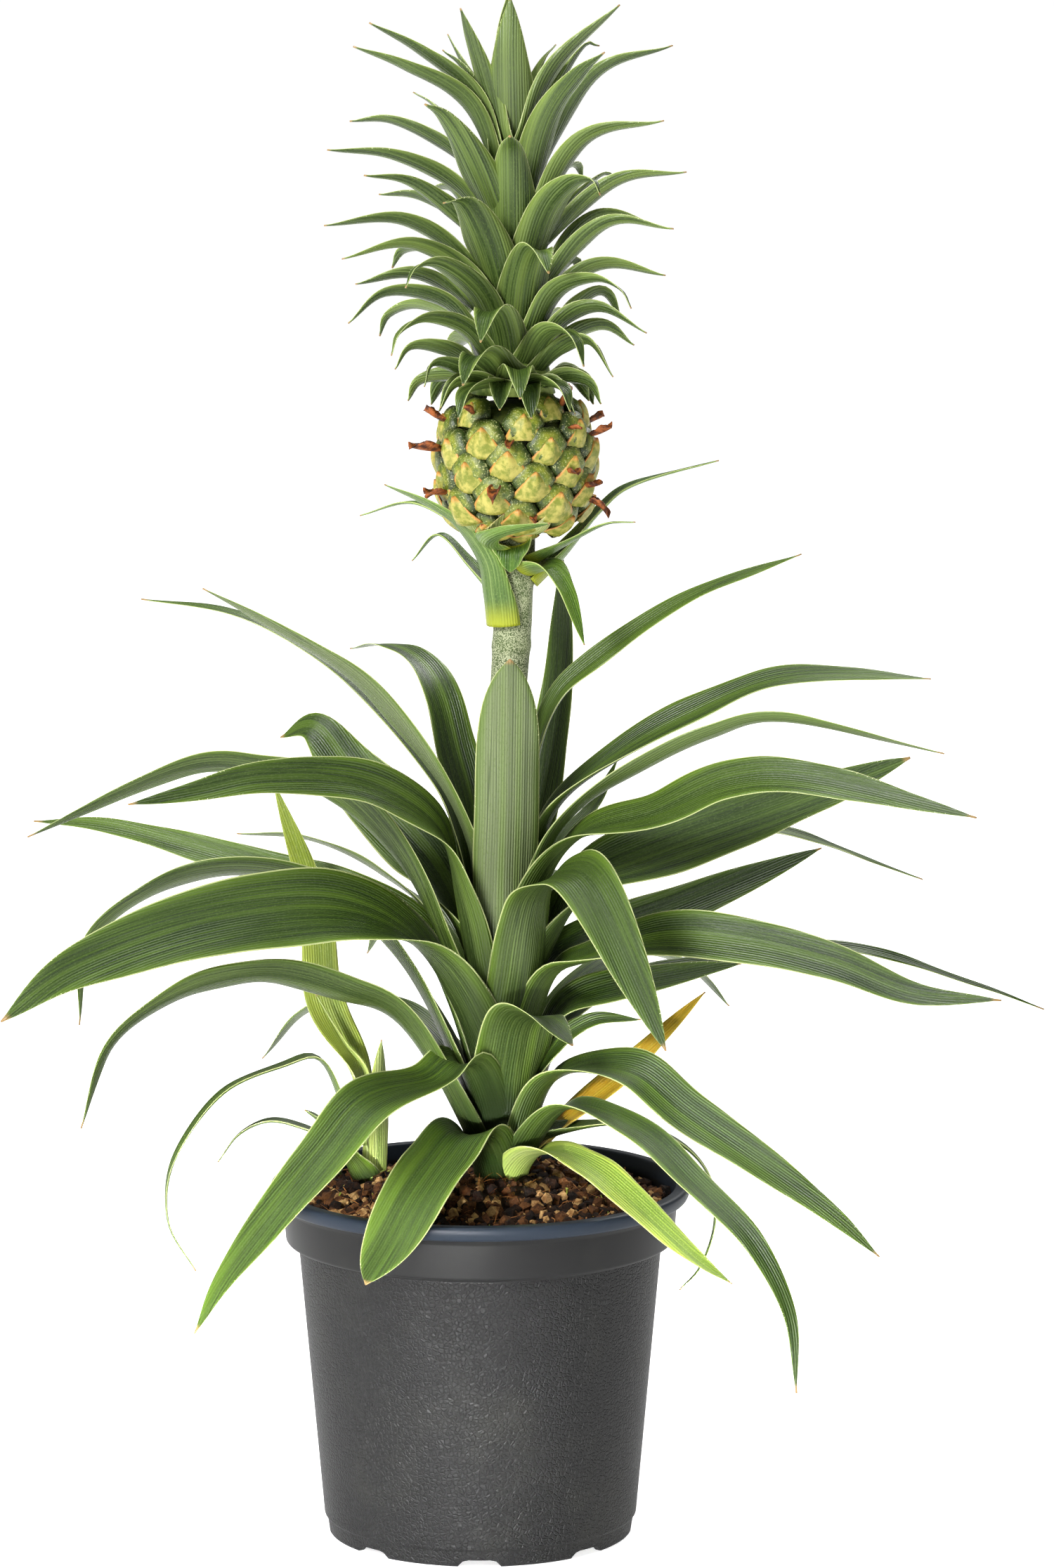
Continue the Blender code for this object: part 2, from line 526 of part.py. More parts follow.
# ---- stem ----------------------------------------------------------------------
def build_stem(material, parts):
    curve = bpy.data.curves.new("stem", "CURVE")
    curve.dimensions = "3D"
    curve.bevel_depth = MM
    curve.bevel_resolution = 3
    curve.use_fill_caps = True
    spline = curve.splines.new("POLY")
    rows = 14
    spline.points.add(rows - 1)
    for index, point in enumerate(spline.points):
        share = index / (rows - 1)
        height = -ROOT_DEPTH + (STALK_HEIGHT - GAP + ROOT_DEPTH) * share
        radius = STEM_RADIUS + (STALK_RADIUS - STEM_RADIUS) * smoothstep(50 * MM, STALK_START, height)
        radius += (STALK_TOP_RADIUS - STALK_RADIUS) * smoothstep(STALK_START, STALK_HEIGHT, height)
        point.co = (stalk_axis(height), 0.0, GROUND + height, 1.0)
        point.radius = radius / MM
    add_object("stem", curve, material, parts)


# ---- fruit ---------------------------------------------------------------------
def eye_centres():
    """Directions of the fruit's eyes, on a spiral with the golden angle between them."""
    centres = []
    for index in range(EYES):
        level = 1.0 - 2.0 * (index + 0.5) / EYES
        centres.append(fruit_point(level, index * GOLDEN_ANGLE))
    return centres


def fruit_point(level, azimuth):
    """A point on the smooth barrel; level runs from -1 at the base to 1 at the top."""
    power = FRUIT_SQUARENESS
    radius = FRUIT_RADIUS * (1.0 - abs(level) ** power) ** (1.0 / power)
    return Vector((radius * math.cos(azimuth), radius * math.sin(azimuth), 0.5 * FRUIT_HEIGHT * level))


def build_fruit(material, parts):
    bm = bmesh.new()
    bmesh.ops.create_uvsphere(bm, u_segments=32, v_segments=18, radius=1.0)
    centres = eye_centres()
    for vertex in bm.verts:
        level = max(-1.0, min(1.0, vertex.co.z))
        azimuth = math.atan2(vertex.co.y, vertex.co.x)
        level = math.copysign(abs(level) ** 0.8, level)
        smooth = fruit_point(level, azimuth)
        nearest = min((smooth - centre).length for centre in centres)
        groove = smoothstep(0.3 * EYE_SPACING, EYE_SPACING, nearest)
        inward = EYE_BULGE * groove * (1.0 - level ** 8)
        outward = Vector((smooth.x, smooth.y, 0.0))
        if outward.length > 0.0:
            smooth -= outward.normalized() * min(inward, 0.5 * outward.length)
        vertex.co = smooth + Vector((FRUIT_AXIS, 0.0, FRUIT_BASE + 0.5 * FRUIT_HEIGHT))
    mesh = bpy.data.meshes.new("fruit")
    bm.to_mesh(mesh)
    bm.free()
    mesh.shade_smooth()
    add_object("fruit", mesh, material, parts)


# ---- leaves --------------------------------------------------------------------
def build_leaves(rows, foot, grown, spread, stack, clasp_radius, material, parts):
    """One object for each row; foot gives the axis of the stem at a height."""
    for name, azimuth, turn, width, twist, route in rows:
        placed = place_route(route, azimuth, turn, foot(route[0][1] * MM), grown, spread, stack)
        lanes = BROAD_LANES if width >= BROAD_LEAF else NARROW_LANES
        mesh = leaf_surface(name, placed, math.radians(azimuth), width * MM, twist,
                            LEAF_STATIONS + (len(route) > 5), lanes, clasp_radius, BASE_SHARE)
        thicken(add_object(name, mesh, material, parts), LEAF_THICKNESS)


# ---- crown ---------------------------------------------------------------------
def crown_rows():
    """The listed crown leaves, and a twin behind for each broad one in front."""
    rows = list(CROWN_LEAVES)
    for azimuth, width, route in CROWN_LEAVES:
        if width >= BACK_TWIN_WIDTH and azimuth > 200:
            rows.append((360 - azimuth + BACK_TWIN_TURN, width, route))
    return rows


def build_crown(material, parts):
    """The crown's short core with every leaf joined to it, as it grows."""
    leaves = make_collection("crown_leaves")
    outline = ((0.0, CROWN_CORE_HEIGHT), (0.22 * CROWN_CORE_RADIUS, CROWN_CORE_HEIGHT - 2.0 * MM),
               (0.55 * CROWN_CORE_RADIUS, 0.55 * CROWN_CORE_HEIGHT),
               (0.9 * CROWN_CORE_RADIUS, 0.2 * CROWN_CORE_HEIGHT),
               (CROWN_CORE_RADIUS, 3.0 * MM), (0.8 * CROWN_CORE_RADIUS, 0.0), (0.0, 0.0))
    crown = turned("crown", outline, CORE_SIDES, material, parts)
    crown.location = (CROWN_AXIS, 0.0, CROWN_BASE)
    grown = CROWN_CORE_RADIUS - DRAWN_CORE_RADIUS
    for number, (azimuth, width, route) in enumerate(crown_rows()):
        angle = math.radians(azimuth)
        placed = [Vector((CROWN_AXIS + (reach * MM + grown) * math.cos(angle),
                          (reach * MM + grown) * math.sin(angle),
                          CROWN_BASE + height * MM)) for reach, height in route]
        lanes = NARROW_LANES if width >= BACK_TWIN_WIDTH else 1
        mesh = leaf_surface("crown_leaf", placed, angle, width * MM, 0, CROWN_LEAF_STATIONS, lanes,
                            CROWN_CLASP_RADIUS, 0.9)
        leaf = add_object(f"crown_leaf_{number + 1:02d}", mesh, material, leaves)
        leaf.hide_render = True
        leaf.display_type = "WIRE"
        thicken(leaf, CROWN_LEAF_THICKNESS)
    union = crown.modifiers.new("leaves", "BOOLEAN")
    union.operation = "UNION"
    union.operand_type = "COLLECTION"
    union.collection = leaves
    union.solver = "EXACT"
    bake(crown)


def main():
    clear_scene()
    parts = make_collection("potted_pineapple_plant")
    cutters = make_collection("cutters")
    plastic = make_material("pot_plastic", (0.018, 0.019, 0.021), 0.42)
    peat = make_material("peat", (0.09, 0.045, 0.022), 0.95)
    stalk = make_material("stalk", (0.20, 0.27, 0.14), 0.6)
    green = make_material("leaf_green", (0.10, 0.20, 0.055), 0.42)
    young = make_material("young_leaf_green", (0.22, 0.33, 0.07), 0.45)
    skin = make_material("fruit_skin", (0.55, 0.55, 0.13), 0.45)
    crest = make_material("crown_green", (0.19, 0.30, 0.09), 0.42)

    build_pot(plastic, parts, cutters)
    build_soil(peat, parts, cutters)
    build_stem(stalk, parts)
    build_fruit(skin, parts)
    build_crown(crest, parts)
    grown = STEM_RADIUS - DRAWN_STEM_RADIUS
    past_rim = (RIM_RADIUS - DRAWN_RIM_RADIUS, 28.0 * MM, 60.0 * MM)
    past_fruit = (FRUIT_RADIUS - DRAWN_FRUIT_RADIUS, 6.0 * MM, 17.0 * MM)
    stack = (LEAF_THICKNESS - DRAWN_LEAF_THICKNESS) / LEAF_PITCH
    build_leaves(ROSETTE, lambda height: (STEM_OFFSET, 0.0), grown, past_rim, stack,
                 STEM_RADIUS + MM, green, parts)
    build_leaves(SIDE_SHOOT, lambda height: SHOOT_OFFSET, 0.0, past_rim, 0.0,
                 SHOOT_CLASP_RADIUS, young, parts)
    build_leaves(STALK_LEAVES, lambda height: (stalk_axis(height), 0.0), 0.0, past_fruit, 0.0,
                 STALK_RADIUS + MM, green, parts)


main()
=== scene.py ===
"""The looks of a fruiting pineapple plant in its nursery pot.

Azimuths are in degrees, anticlockwise from +X seen from above.  A leaf's route is a
list of (reach, height) stations in millimetres: reach from the stem's axis, height
from the ground line where the stem leaves the soil.  Other lengths are in metres.
"""
import math
import random

import bmesh
import bpy
import numpy as np
from mathutils import Matrix, Vector, noise


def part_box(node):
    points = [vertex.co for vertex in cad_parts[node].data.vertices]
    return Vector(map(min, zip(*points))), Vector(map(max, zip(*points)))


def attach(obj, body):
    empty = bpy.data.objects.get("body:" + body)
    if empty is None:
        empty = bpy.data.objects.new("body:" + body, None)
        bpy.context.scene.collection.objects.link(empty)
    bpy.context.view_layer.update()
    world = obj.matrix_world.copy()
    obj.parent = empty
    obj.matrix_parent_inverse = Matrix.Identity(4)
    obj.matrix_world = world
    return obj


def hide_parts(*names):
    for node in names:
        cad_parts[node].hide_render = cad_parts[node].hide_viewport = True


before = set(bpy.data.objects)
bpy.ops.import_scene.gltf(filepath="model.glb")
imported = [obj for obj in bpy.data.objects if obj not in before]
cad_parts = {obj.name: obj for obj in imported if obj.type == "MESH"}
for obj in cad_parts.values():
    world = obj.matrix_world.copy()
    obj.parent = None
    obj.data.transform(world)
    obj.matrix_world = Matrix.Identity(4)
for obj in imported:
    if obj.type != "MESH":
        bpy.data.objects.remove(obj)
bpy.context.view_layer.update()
chance = random.Random(11)

MM = 0.001
POT_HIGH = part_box("pot")[1]
STEM_LOW, STEM_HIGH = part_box("stem")
FRUIT_LOW, FRUIT_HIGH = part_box("fruit")
CROWN_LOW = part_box("crown")[0]

RIM_RADIUS = POT_HIGH.x
POT_HEIGHT = POT_HIGH.z
STEM_RADIUS = STEM_HIGH.y
STEM_X = STEM_LOW.x + STEM_RADIUS
GROUND = POT_HEIGHT + 1.5 * MM
STALK_RADIUS = 4.9 * MM
STALK_TOP_RADIUS = 5.6 * MM
STALK_START = 95.0 * MM
STALK_END = STEM_HIGH.z - GROUND
FRUIT_MIDDLE = 0.5 * (FRUIT_LOW + FRUIT_HIGH)
FRUIT_RADIUS = 0.5 * (FRUIT_HIGH.y - FRUIT_LOW.y)
FRUIT_HALF = 0.5 * (FRUIT_HIGH.z - FRUIT_LOW.z)
CROWN_X = FRUIT_MIDDLE.x - 0.7 * MM
BLADE = 0.9 * MM
SHEATH = 16.0
TOOTH_GAP = 1.5 * MM
CROWN_TOOTH_GAP = 1.6 * MM
CROWN_BASE_LEAVES = 17
GOLDEN_ANGLE = math.pi * (3.0 - math.sqrt(5.0))

# sideways turn of a leaf's azimuth at its tip
TURNS = {"leaf_front_6": 15, "stalk_leaf_1": -30, "stalk_leaf_8": 75}


def named(group, rows):
    """Rows of name, azimuth, turn, width, twist and route, numbered within their group."""
    names = [f"{group}_{number}" for number in range(1, len(rows) + 1)]
    return [(name, row[0], TURNS.get(name, 0)) + row[1:] for name, row in zip(names, rows)]


# azimuth, width, twist, route
FRONT = named("leaf_front", (
    (246, 19, -10, ((8, 2), (16, 13), (27, 17), (43, 12), (60, 5), (75, -4), (91, -12))),
    (305, 11, 25, ((8, 2), (16, 9), (29, 12), (46, 10), (62, 5), (93, -6), (110, -10))),
    (315, 10, 30, ((8, 4), (26, 24), (55, 21), (76, 10), (98, -3), (112, -21), (115, -43))),
    (231, 17, -35, ((8, 19), (17, 35), (30, 32), (58, 31), (79, 19), (117, -6), (132, -21))),
    (331, 15, 45, ((8, 8), (17, 30), (41, 35), (61, 24), (101, 3), (120, -10))),
    (285, 22, 0, ((8, 22), (13, 37), (20, 49), (30, 51), (40, 45))),
    (299, 19, 30, ((8, 42), (13, 60), (20, 84), (35, 93), (52, 91), (80, 66), (93, 53))),
    (277, 18, 0, ((8, 64), (9, 86), (14, 108), (18, 138), (20, 152))),
))
LEFT = named("leaf_left", (
    (202, 13, 50, ((8, 8), (29, 46), (48, 57), (72, 64), (97, 60), (117, 47), (126, 24))),
    (202, 24, -62, ((8, 34), (15, 53), (28, 71), (53, 81), (91, 79), (128, 69), (149, 56))),
    (180, 12, 45, ((8, 16), (18, 44), (31, 66), (49, 83), (73, 89), (97, 84), (117, 68), (120, 44))),
    (157, 13, -50, ((8, 25), (15, 49), (26, 70), (50, 80), (78, 85), (122, 93), (148, 93))),
    (209, 16, -60, ((8, 50), (14, 83), (21, 103), (44, 117), (74, 121), (96, 119), (117, 117))),
    (187, 13, 50, ((8, 42), (18, 71), (30, 95), (48, 113), (68, 119), (91, 119), (134, 101))),
    (146, 23, -50, ((8, 56), (11, 66), (23, 88), (51, 111), (65, 124), (77, 120))),
    (184, 11, 35, ((8, 80), (9, 96), (19, 117), (40, 143), (66, 160), (84, 170))),
    (160, 9, -15, ((8, 67), (13, 98), (23, 118), (50, 144), (80, 158), (110, 161))),
    (145, 8, 30, ((8, 40), (21, 70), (43, 84), (68, 91), (94, 90))),
))
BACK = named("leaf_back", (
    (120, 15, 0, ((8, 62), (16, 99), (27, 120), (35, 134), (46, 142), (65, 145), (89, 141))),
    (55, 15, 0, ((8, 66), (17, 97), (25, 122), (30, 150), (30, 177))),
    (93, 13, 0, ((8, 50), (15, 75), (26, 97), (45, 106), (68, 108), (88, 98))),
    (75, 13, 0, ((8, 34), (16, 54), (33, 70), (56, 78), (82, 72), (100, 58))),
    (112, 14, 0, ((8, 26), (16, 46), (35, 62), (60, 70), (88, 62), (108, 46))),
    (50, 12, 0, ((8, 18), (16, 34), (34, 50), (60, 56), (86, 48), (104, 34))),
    (135, 12, 0, ((8, 12), (16, 27), (34, 40), (58, 44), (82, 36), (100, 20))),
    (46, 9, 0, ((8, 63), (18, 88), (38, 103), (48, 115))),
))
RIGHT = named("leaf_right", (
    (5, 9, 35, ((8, 92), (10, 120), (15, 137), (26, 148), (53, 166), (85, 178))),
    (355, 14, 30, ((8, 81), (15, 106), (34, 123), (55, 135), (76, 144), (98, 146), (121, 145))),
    (346, 9, -35, ((8, 71), (13, 94), (23, 108), (39, 119), (60, 130), (82, 135), (127, 127))),
    (3, 20, 58, ((8, 50), (12, 62), (24, 84), (42, 93), (79, 106), (116, 120))),
    (335, 16, 50, ((8, 64), (12, 83), (24, 100), (47, 108), (71, 119), (96, 121), (144, 114))),
    (42, 7, 30, ((8, 58), (21, 72), (43, 89), (67, 91), (108, 88), (169, 66))),
    (24, 15, 58, ((8, 39), (16, 61), (37, 69), (59, 75), (101, 88))),
    (338, 16, 60, ((8, 34), (15, 58), (26, 65), (49, 73), (75, 73), (100, 69), (124, 62), (149, 62))),
    (25, 6, 40, ((8, 10), (18, 40), (41, 54), (65, 57), (109, 58), (154, 43), (176, 34))),
    (8, 12, 50, ((8, 30), (14, 43), (24, 52), (55, 58), (69, 60))),
    (350, 9, 40, ((8, 17), (14, 36), (26, 46), (40, 47))),
    (22, 9, 40, ((8, 3), (19, 14), (38, 28), (51, 39), (63, 49))),
    (4, 4, 0, ((8, 9), (31, 15), (49, 10), (59, 0), (61, -14), (57, -27), (51, -34))),
))
ROSETTE = FRONT + LEFT + BACK + RIGHT
SHOOT_OFFSET = (-31.0 * MM, 4.0 * MM)
SIDE_SHOOT = named("shoot_leaf", (
    (200, 17, 0, ((5, -1), (9, 8), (14, 15), (20, 20))),
    (178, 4, 0, ((9, 0), (14, 10), (22, 14), (30, 15), (38, 11), (44, 3))),
    (197, 4, 0, ((3, -3), (8, 18), (15, 34), (26, 33), (44, 26), (58, 8), (60, -10), (52, -25))),
    (163, 12, -75, ((3, 9), (5, 30), (14, 50), (17, 78), (29, 112))),
    (192, 5, 0, ((1, -2), (1, 27), (8, 39), (16, 53))),
    (300, 8, 0, ((3, 1), (4, 20), (6, 40))),
))
STALK_LEAVES = named("stalk_leaf", (
    (215, 9, 0, ((7, 159), (8, 168), (10, 178), (17, 188), (25, 194), (36, 199))),
    (145, 5, 0, ((6, 179), (17, 185), (35, 191), (54, 186))),
    (151, 4, 0, ((6, 167), (14, 175), (24, 183), (33, 175))),
    (12, 7, 0, ((6, 170), (14, 178), (25, 191), (35, 198), (59, 204))),
    (335, 4, 0, ((6, 177), (18, 184), (28, 189), (37, 190))),
    (314, 7, 0, ((6, 174), (14, 176), (20, 171), (24, 164), (28, 156))),
    (262, 8, 0, ((7, 182), (9, 180), (10, 175))),
    (215, 5, 0, ((7, 180), (15, 184), (22, 188), (28, 191))),
))
# azimuth, width, route: heights are above the underside of the crown
CROWN_LEAVES = (
    (262, 14, ((1, 64), (6, 92), (5, 110))),
    (195, 9, ((2, 66), (9, 88), (15, 107))),
    (186, 5, ((2, 60), (11, 82), (26, 95), (40, 103))),
    (197, 6, ((3, 56), (13, 80), (31, 91), (46, 97))),
    (228, 12, ((3, 42), (18, 66), (28, 78), (36, 82))),
    (172, 4, ((3, 54), (18, 67), (34, 75), (46, 75))),
    (188, 5, ((4, 42), (16, 57), (34, 66), (52, 68))),
    (207, 6, ((4, 34), (14, 46), (31, 59), (46, 62))),
    (160, 4, ((4, 42), (27, 53), (40, 54))),
    (236, 14, ((5, 24), (14, 42), (24, 54), (34, 55))),
    (188, 5, ((5, 28), (16, 39), (32, 48), (53, 47))),
    (205, 5, ((5, 22), (15, 34), (32, 42), (52, 39))),
    (180, 4, ((6, 20), (26, 32), (44, 30))),
    (228, 10, ((6, 13), (15, 28), (30, 37), (40, 37), (44, 32))),
    (193, 4, ((7, 12), (20, 25), (36, 28), (47, 20))),
    (222, 8, ((7, 7), (18, 18), (32, 22), (42, 19), (45, 13))),
    (195, 4, ((7, 5), (18, 11), (29, 13), (34, 7))),
    (215, 4, ((7, 3), (18, 7), (27, 9), (30, 3))),
    (150, 4, ((1, 68), (15, 89), (21, 99))),
    (168, 4, ((1, 63), (13, 88), (20, 95))),
    (268, 15, ((4, 34), (10, 55), (15, 68), (22, 73))),
    (287, 14, ((5, 14), (12, 31), (20, 40), (28, 41), (34, 36))),
    (255, 13, ((7, 6), (14, 18), (22, 24), (29, 23), (34, 17))),
    (247, 12, ((7, 3), (16, 9), (24, 12), (31, 10), (35, 5))),
    (274, 10, ((7, 2), (16, 6), (22, 8), (28, 5), (30, 1))),
    (303, 9, ((7, 6), (16, 16), (24, 19), (32, 17), (36, 10))),
    (352, 5, ((1, 66), (12, 90), (30, 108))),
    (45, 5, ((1, 68), (11, 90), (17, 96))),
    (15, 4, ((1, 64), (19, 94), (25, 96))),
    (318, 11, ((3, 44), (12, 74), (24, 89), (34, 96))),
    (350, 5, ((3, 52), (22, 87), (45, 97))),
    (335, 6, ((4, 42), (21, 70), (46, 77))),
    (350, 5, ((4, 36), (28, 58), (49, 62))),
    (312, 12, ((4, 28), (14, 50), (24, 59), (33, 61), (36, 57))),
    (28, 4, ((4, 38), (26, 58), (33, 59))),
    (338, 5, ((5, 24), (27, 47), (48, 47))),
    (2, 4, ((5, 28), (23, 48), (41, 46))),
    (352, 4, ((5, 22), (24, 35), (43, 33))),
    (318, 7, ((6, 12), (16, 28), (30, 33), (40, 31), (44, 26))),
    (35, 4, ((6, 22), (20, 35), (23, 31))),
    (10, 4, ((7, 13), (24, 27), (31, 20))),
    (335, 5, ((7, 9), (16, 20), (27, 24), (41, 18))),
    (358, 4, ((7, 10), (24, 18), (34, 13))),
    (325, 5, ((7, 4), (16, 12), (26, 15), (34, 6))),
)

# how dark or bright each leaf is painted, mostly painted light and shade for how light falls on that leaf,
# partly its age: 0 is a dark leaf, old and in shade, 0.5 an ordinary one, 1 a bright one, fresh and lit
LIGHT_AND_AGE_TONES = {
    "leaf_front_1": 0.6, "leaf_front_2": 0.3, "leaf_front_3": 0.35, "leaf_front_5": 0.5,
    "leaf_front_6": 0.55, "leaf_front_7": 0.65, "leaf_front_8": 1.0, "leaf_left_2": 0.4,
    "leaf_left_4": 0.7, "leaf_left_5": 0.5, "leaf_left_7": 0.3, "leaf_left_8": 0.9,
    "leaf_left_10": 0.9, "leaf_back_1": 0.2, "leaf_right_1": 0.75, "leaf_right_3": 0.85,
    "leaf_right_4": 0.3, "leaf_right_5": 0.7, "leaf_right_7": 0.15, "leaf_right_10": 0.15,
    "leaf_right_13": 0.7, "shoot_leaf_4": 0.95, "shoot_leaf_5": 0.6, "stalk_leaf_6": 0.8,
}
BLUNT = {"leaf_front_1": 7.0, "leaf_front_6": 4.0, "leaf_front_8": 9.0, "leaf_front_7": 3.2,
         "leaf_left_2": 3.6, "leaf_left_7": 3.2, "leaf_right_4": 3.4, "shoot_leaf_1": 4.0}


# ---- meshes ----
def add_object(name, data):
    obj = bpy.data.objects.new(name, data)
    bpy.context.scene.collection.objects.link(obj)
    return obj


def new_mesh(name, verts, faces):
    mesh = bpy.data.meshes.new(name)
    mesh.from_pydata([tuple(vert) for vert in verts], [], faces)
    return mesh


def mesh_of(bm, name):
    mesh = bpy.data.meshes.new(name)
    bm.to_mesh(mesh)
    bm.free()
    return mesh


def baked(obj):
    """The object's mesh with its modifiers applied."""
    bpy.context.view_layer.update()
    graph = bpy.context.evaluated_depsgraph_get()
    return bpy.data.meshes.new_from_object(obj.evaluated_get(graph))


def weave(rows, columns, closed=False, start=0):
    """Faces between rows of points; closed joins each row's last point to its first."""
    faces = []
    for row in range(rows - 1):
        for column in range(columns if closed else columns - 1):
            a = start + row * columns + column
            b = start + row * columns + (column + 1) % columns
            faces.append((a, b, b + columns, a + columns))
    return faces


def tube(rings, sides, start=0):
    """Faces of a tube of rings, with a face over each end."""
    last = start + (rings - 1) * sides
    ends = [tuple(range(start + sides - 1, start - 1, -1)), tuple(range(last, last + sides))]
    return weave(rings, sides, True, start) + ends


def smoothstep(low, high, value):
    share = np.clip((value - low) / (high - low), 0.0, 1.0)
    return share * share * (3.0 - 2.0 * share)


def smooth_route(stations, count):
    """Evenly spaced points on a Catmull-Rom curve through the stations."""
    knots = [np.array(station, float) for station in stations]
    knots = [2.0 * knots[0] - knots[1]] + knots + [2.0 * knots[-1] - knots[-2]]
    dense = []
    for a, b, c, d in zip(knots, knots[1:], knots[2:], knots[3:]):
        for step in range(16):
            t = step / 16.0
            dense.append(0.5 * (2.0 * b + (c - a) * t + (2.0 * a - 5.0 * b + 4.0 * c - d) * t ** 2
                                + (3.0 * b - 3.0 * c + d - a) * t ** 3))
    dense.append(knots[-2])
    dense = np.array(dense)
    travel = np.concatenate([[0.0], np.cumsum(np.linalg.norm(np.diff(dense, axis=0), axis=1))])
    marks = np.linspace(0.0, travel[-1], count)
    return np.stack([np.interp(marks, travel, dense[:, axis]) for axis in range(3)], axis=1), travel[-1]


def tidy_normals(mesh):
    bm = bmesh.new()
    bm.from_mesh(mesh)
    bmesh.ops.recalc_face_normals(bm, faces=bm.faces)
    bm.to_mesh(mesh)
    bm.free()


def mark_points(mesh, label, values):
    """Store a number or a vector for each point of a mesh."""
    values = np.array(values, np.float32)
    kind, field = ("FLOAT", "value") if values.ndim == 1 else ("FLOAT_VECTOR", "vector")
    mesh.attributes.new(label, kind, "POINT").data.foreach_set(field, values.ravel())


def unit(vectors):
    return vectors / np.maximum(np.linalg.norm(vectors, axis=-1, keepdims=True), 1e-12)


class Sprout:
    """Leaf blades gathered into one mesh, with the places of the teeth on their edges."""

    def __init__(self):
        self.verts, self.faces = [], []
        self.place, self.share, self.tone = [], [], []
        self.teeth = []
        self.count = 0

    def add(self, route, azimuth, width, twist, rows, lanes, clasp_radius, foot_width, tip_power,
            ripple, thickness, tone, lead, teeth_gap, opening=0.4, channel=26.0):
        """route in metres; lead is how much of its start is sheath below the blade's foot,
        opening the share of the blade over which it lets go of the stem, channel half
        the angle of the trough it then is."""
        points, length = smooth_route(route, rows)
        along = np.linspace(0.0, 1.0, rows)
        share = np.clip((along * length - lead) / (length - lead), 0.0, 1.0)
        tangent = unit(np.gradient(points, axis=0))
        side = np.array([-math.sin(azimuth), math.cos(azimuth), 0.0])
        sides = []
        for row in range(rows):
            side = unit(side - tangent[row] * side.dot(tangent[row]))
            sides.append(side)
        sides = np.array(sides)
        turn = (math.radians(twist) * smoothstep(0.12, 0.5, share))[:, None]
        normal = np.cross(tangent, sides)
        across = sides * np.cos(turn) + normal * np.sin(turn)
        up = np.cross(tangent, across)

        swell = foot_width + (width - foot_width) * smoothstep(0.0, 0.75 * opening, share)
        half = np.maximum(0.5 * swell * (1.0 - share ** tip_power) ** 0.9, 0.25 * MM)
        clasp = np.minimum(half / clasp_radius, math.radians(95.0))
        cup = clasp + (math.radians(channel) - clasp) * smoothstep(0.0, opening, share)
        cup = cup * (1.0 - 0.6 * smoothstep(0.6, 1.0, share))
        radius = half / cup

        lane = np.linspace(-1.0, 1.0, lanes + 1)
        angle = cup[:, None] * lane[None, :]
        phase = [chance.uniform(0.0, 6.28) for _ in range(4)]
        travel = along * length
        free = smoothstep(0.15, 0.4, share) * (1.0 - 0.6 * smoothstep(0.8, 1.0, share))
        left = np.sin(travel / (7.5 * MM) + phase[0]) + 0.6 * np.sin(travel / (3.9 * MM) + phase[1])
        right = np.sin(travel / (6.7 * MM) + phase[2]) + 0.6 * np.sin(travel / (4.3 * MM) + phase[3])
        wave = np.where(lane[None, :] < 0.0, left[:, None], right[:, None]) * np.abs(lane[None, :]) ** 2.5
        wave = wave * (ripple * free)[:, None]
        keel = -0.035 * half[:, None] * (1.0 - np.abs(lane[None, :])) ** 3
        middle = (points[:, None, :] + across[:, None, :] * (radius[:, None] * np.sin(angle))[..., None]
                  + up[:, None, :] * (radius[:, None] * (1.0 - np.cos(angle)) + wave + keel)[..., None])
        face_up = unit(up[:, None, :] * np.cos(angle)[..., None]
                       - across[:, None, :] * np.sin(angle)[..., None])
        slim = thickness * (1.0 - 0.55 * smoothstep(0.5, 1.0, share))
        depth = 0.5 * slim[:, None] * np.sqrt(1.0 - 0.96 * np.abs(lane[None, :]) ** 3)
        upper = middle + face_up * depth[..., None]
        lower = middle - face_up * depth[..., None]

        loop = 2 * (lanes + 1)
        ring = np.concatenate([upper, lower[:, ::-1, :]], axis=1)
        width_mm = (half[:, None] * lane[None, :]) / MM
        place = np.stack([np.concatenate([width_mm, width_mm[:, ::-1]], axis=1),
                          np.repeat((travel / MM)[:, None], loop, axis=1),
                          np.full((rows, loop), 10.0 * phase[0])], axis=-1)
        edge = np.abs(np.concatenate([lane, lane[::-1]]))
        upside = np.concatenate([np.ones(lanes + 1), np.zeros(lanes + 1)])
        shares = np.stack([np.repeat(edge[None, :], rows, axis=0),
                           np.repeat(share[:, None], loop, axis=1),
                           np.repeat(upside[None, :], rows, axis=0)], axis=-1)
        self.faces += tube(rows, loop, self.count)
        self.verts.append(ring.reshape(-1, 3))
        self.place.append(place.reshape(-1, 3))
        self.share.append(shares.reshape(-1, 3))
        self.tone.append(np.full(rows * loop, tone))
        self.count += rows * loop

        count = int(0.85 * length / teeth_gap)
        for index in range(count):
            mark = (0.12 + 0.84 * (index + chance.uniform(-0.2, 0.2)) / count) * (rows - 1)
            row = int(mark)
            part = mark - row
            for column, sense in ((0, -1.0), (lanes, 1.0)):
                spot = middle[row, column] * (1.0 - part) + middle[row + 1, column] * part
                outward = sense * (across[row] * math.cos(cup[row]) + sense * up[row] * math.sin(cup[row]))
                facing = unit(outward + 0.9 * tangent[row])
                self.teeth.append((spot - 0.1 * MM * outward, facing, up[row], 1.0))

    def mesh(self, name):
        mesh = new_mesh(name, np.concatenate(self.verts).tolist(), self.faces)
        for label, values in (("leaf_mm", self.place), ("leaf_share", self.share), ("leaf_tone", self.tone)):
            mark_points(mesh, label, np.concatenate(values))
        tidy_normals(mesh)
        mesh.shade_smooth()
        return mesh


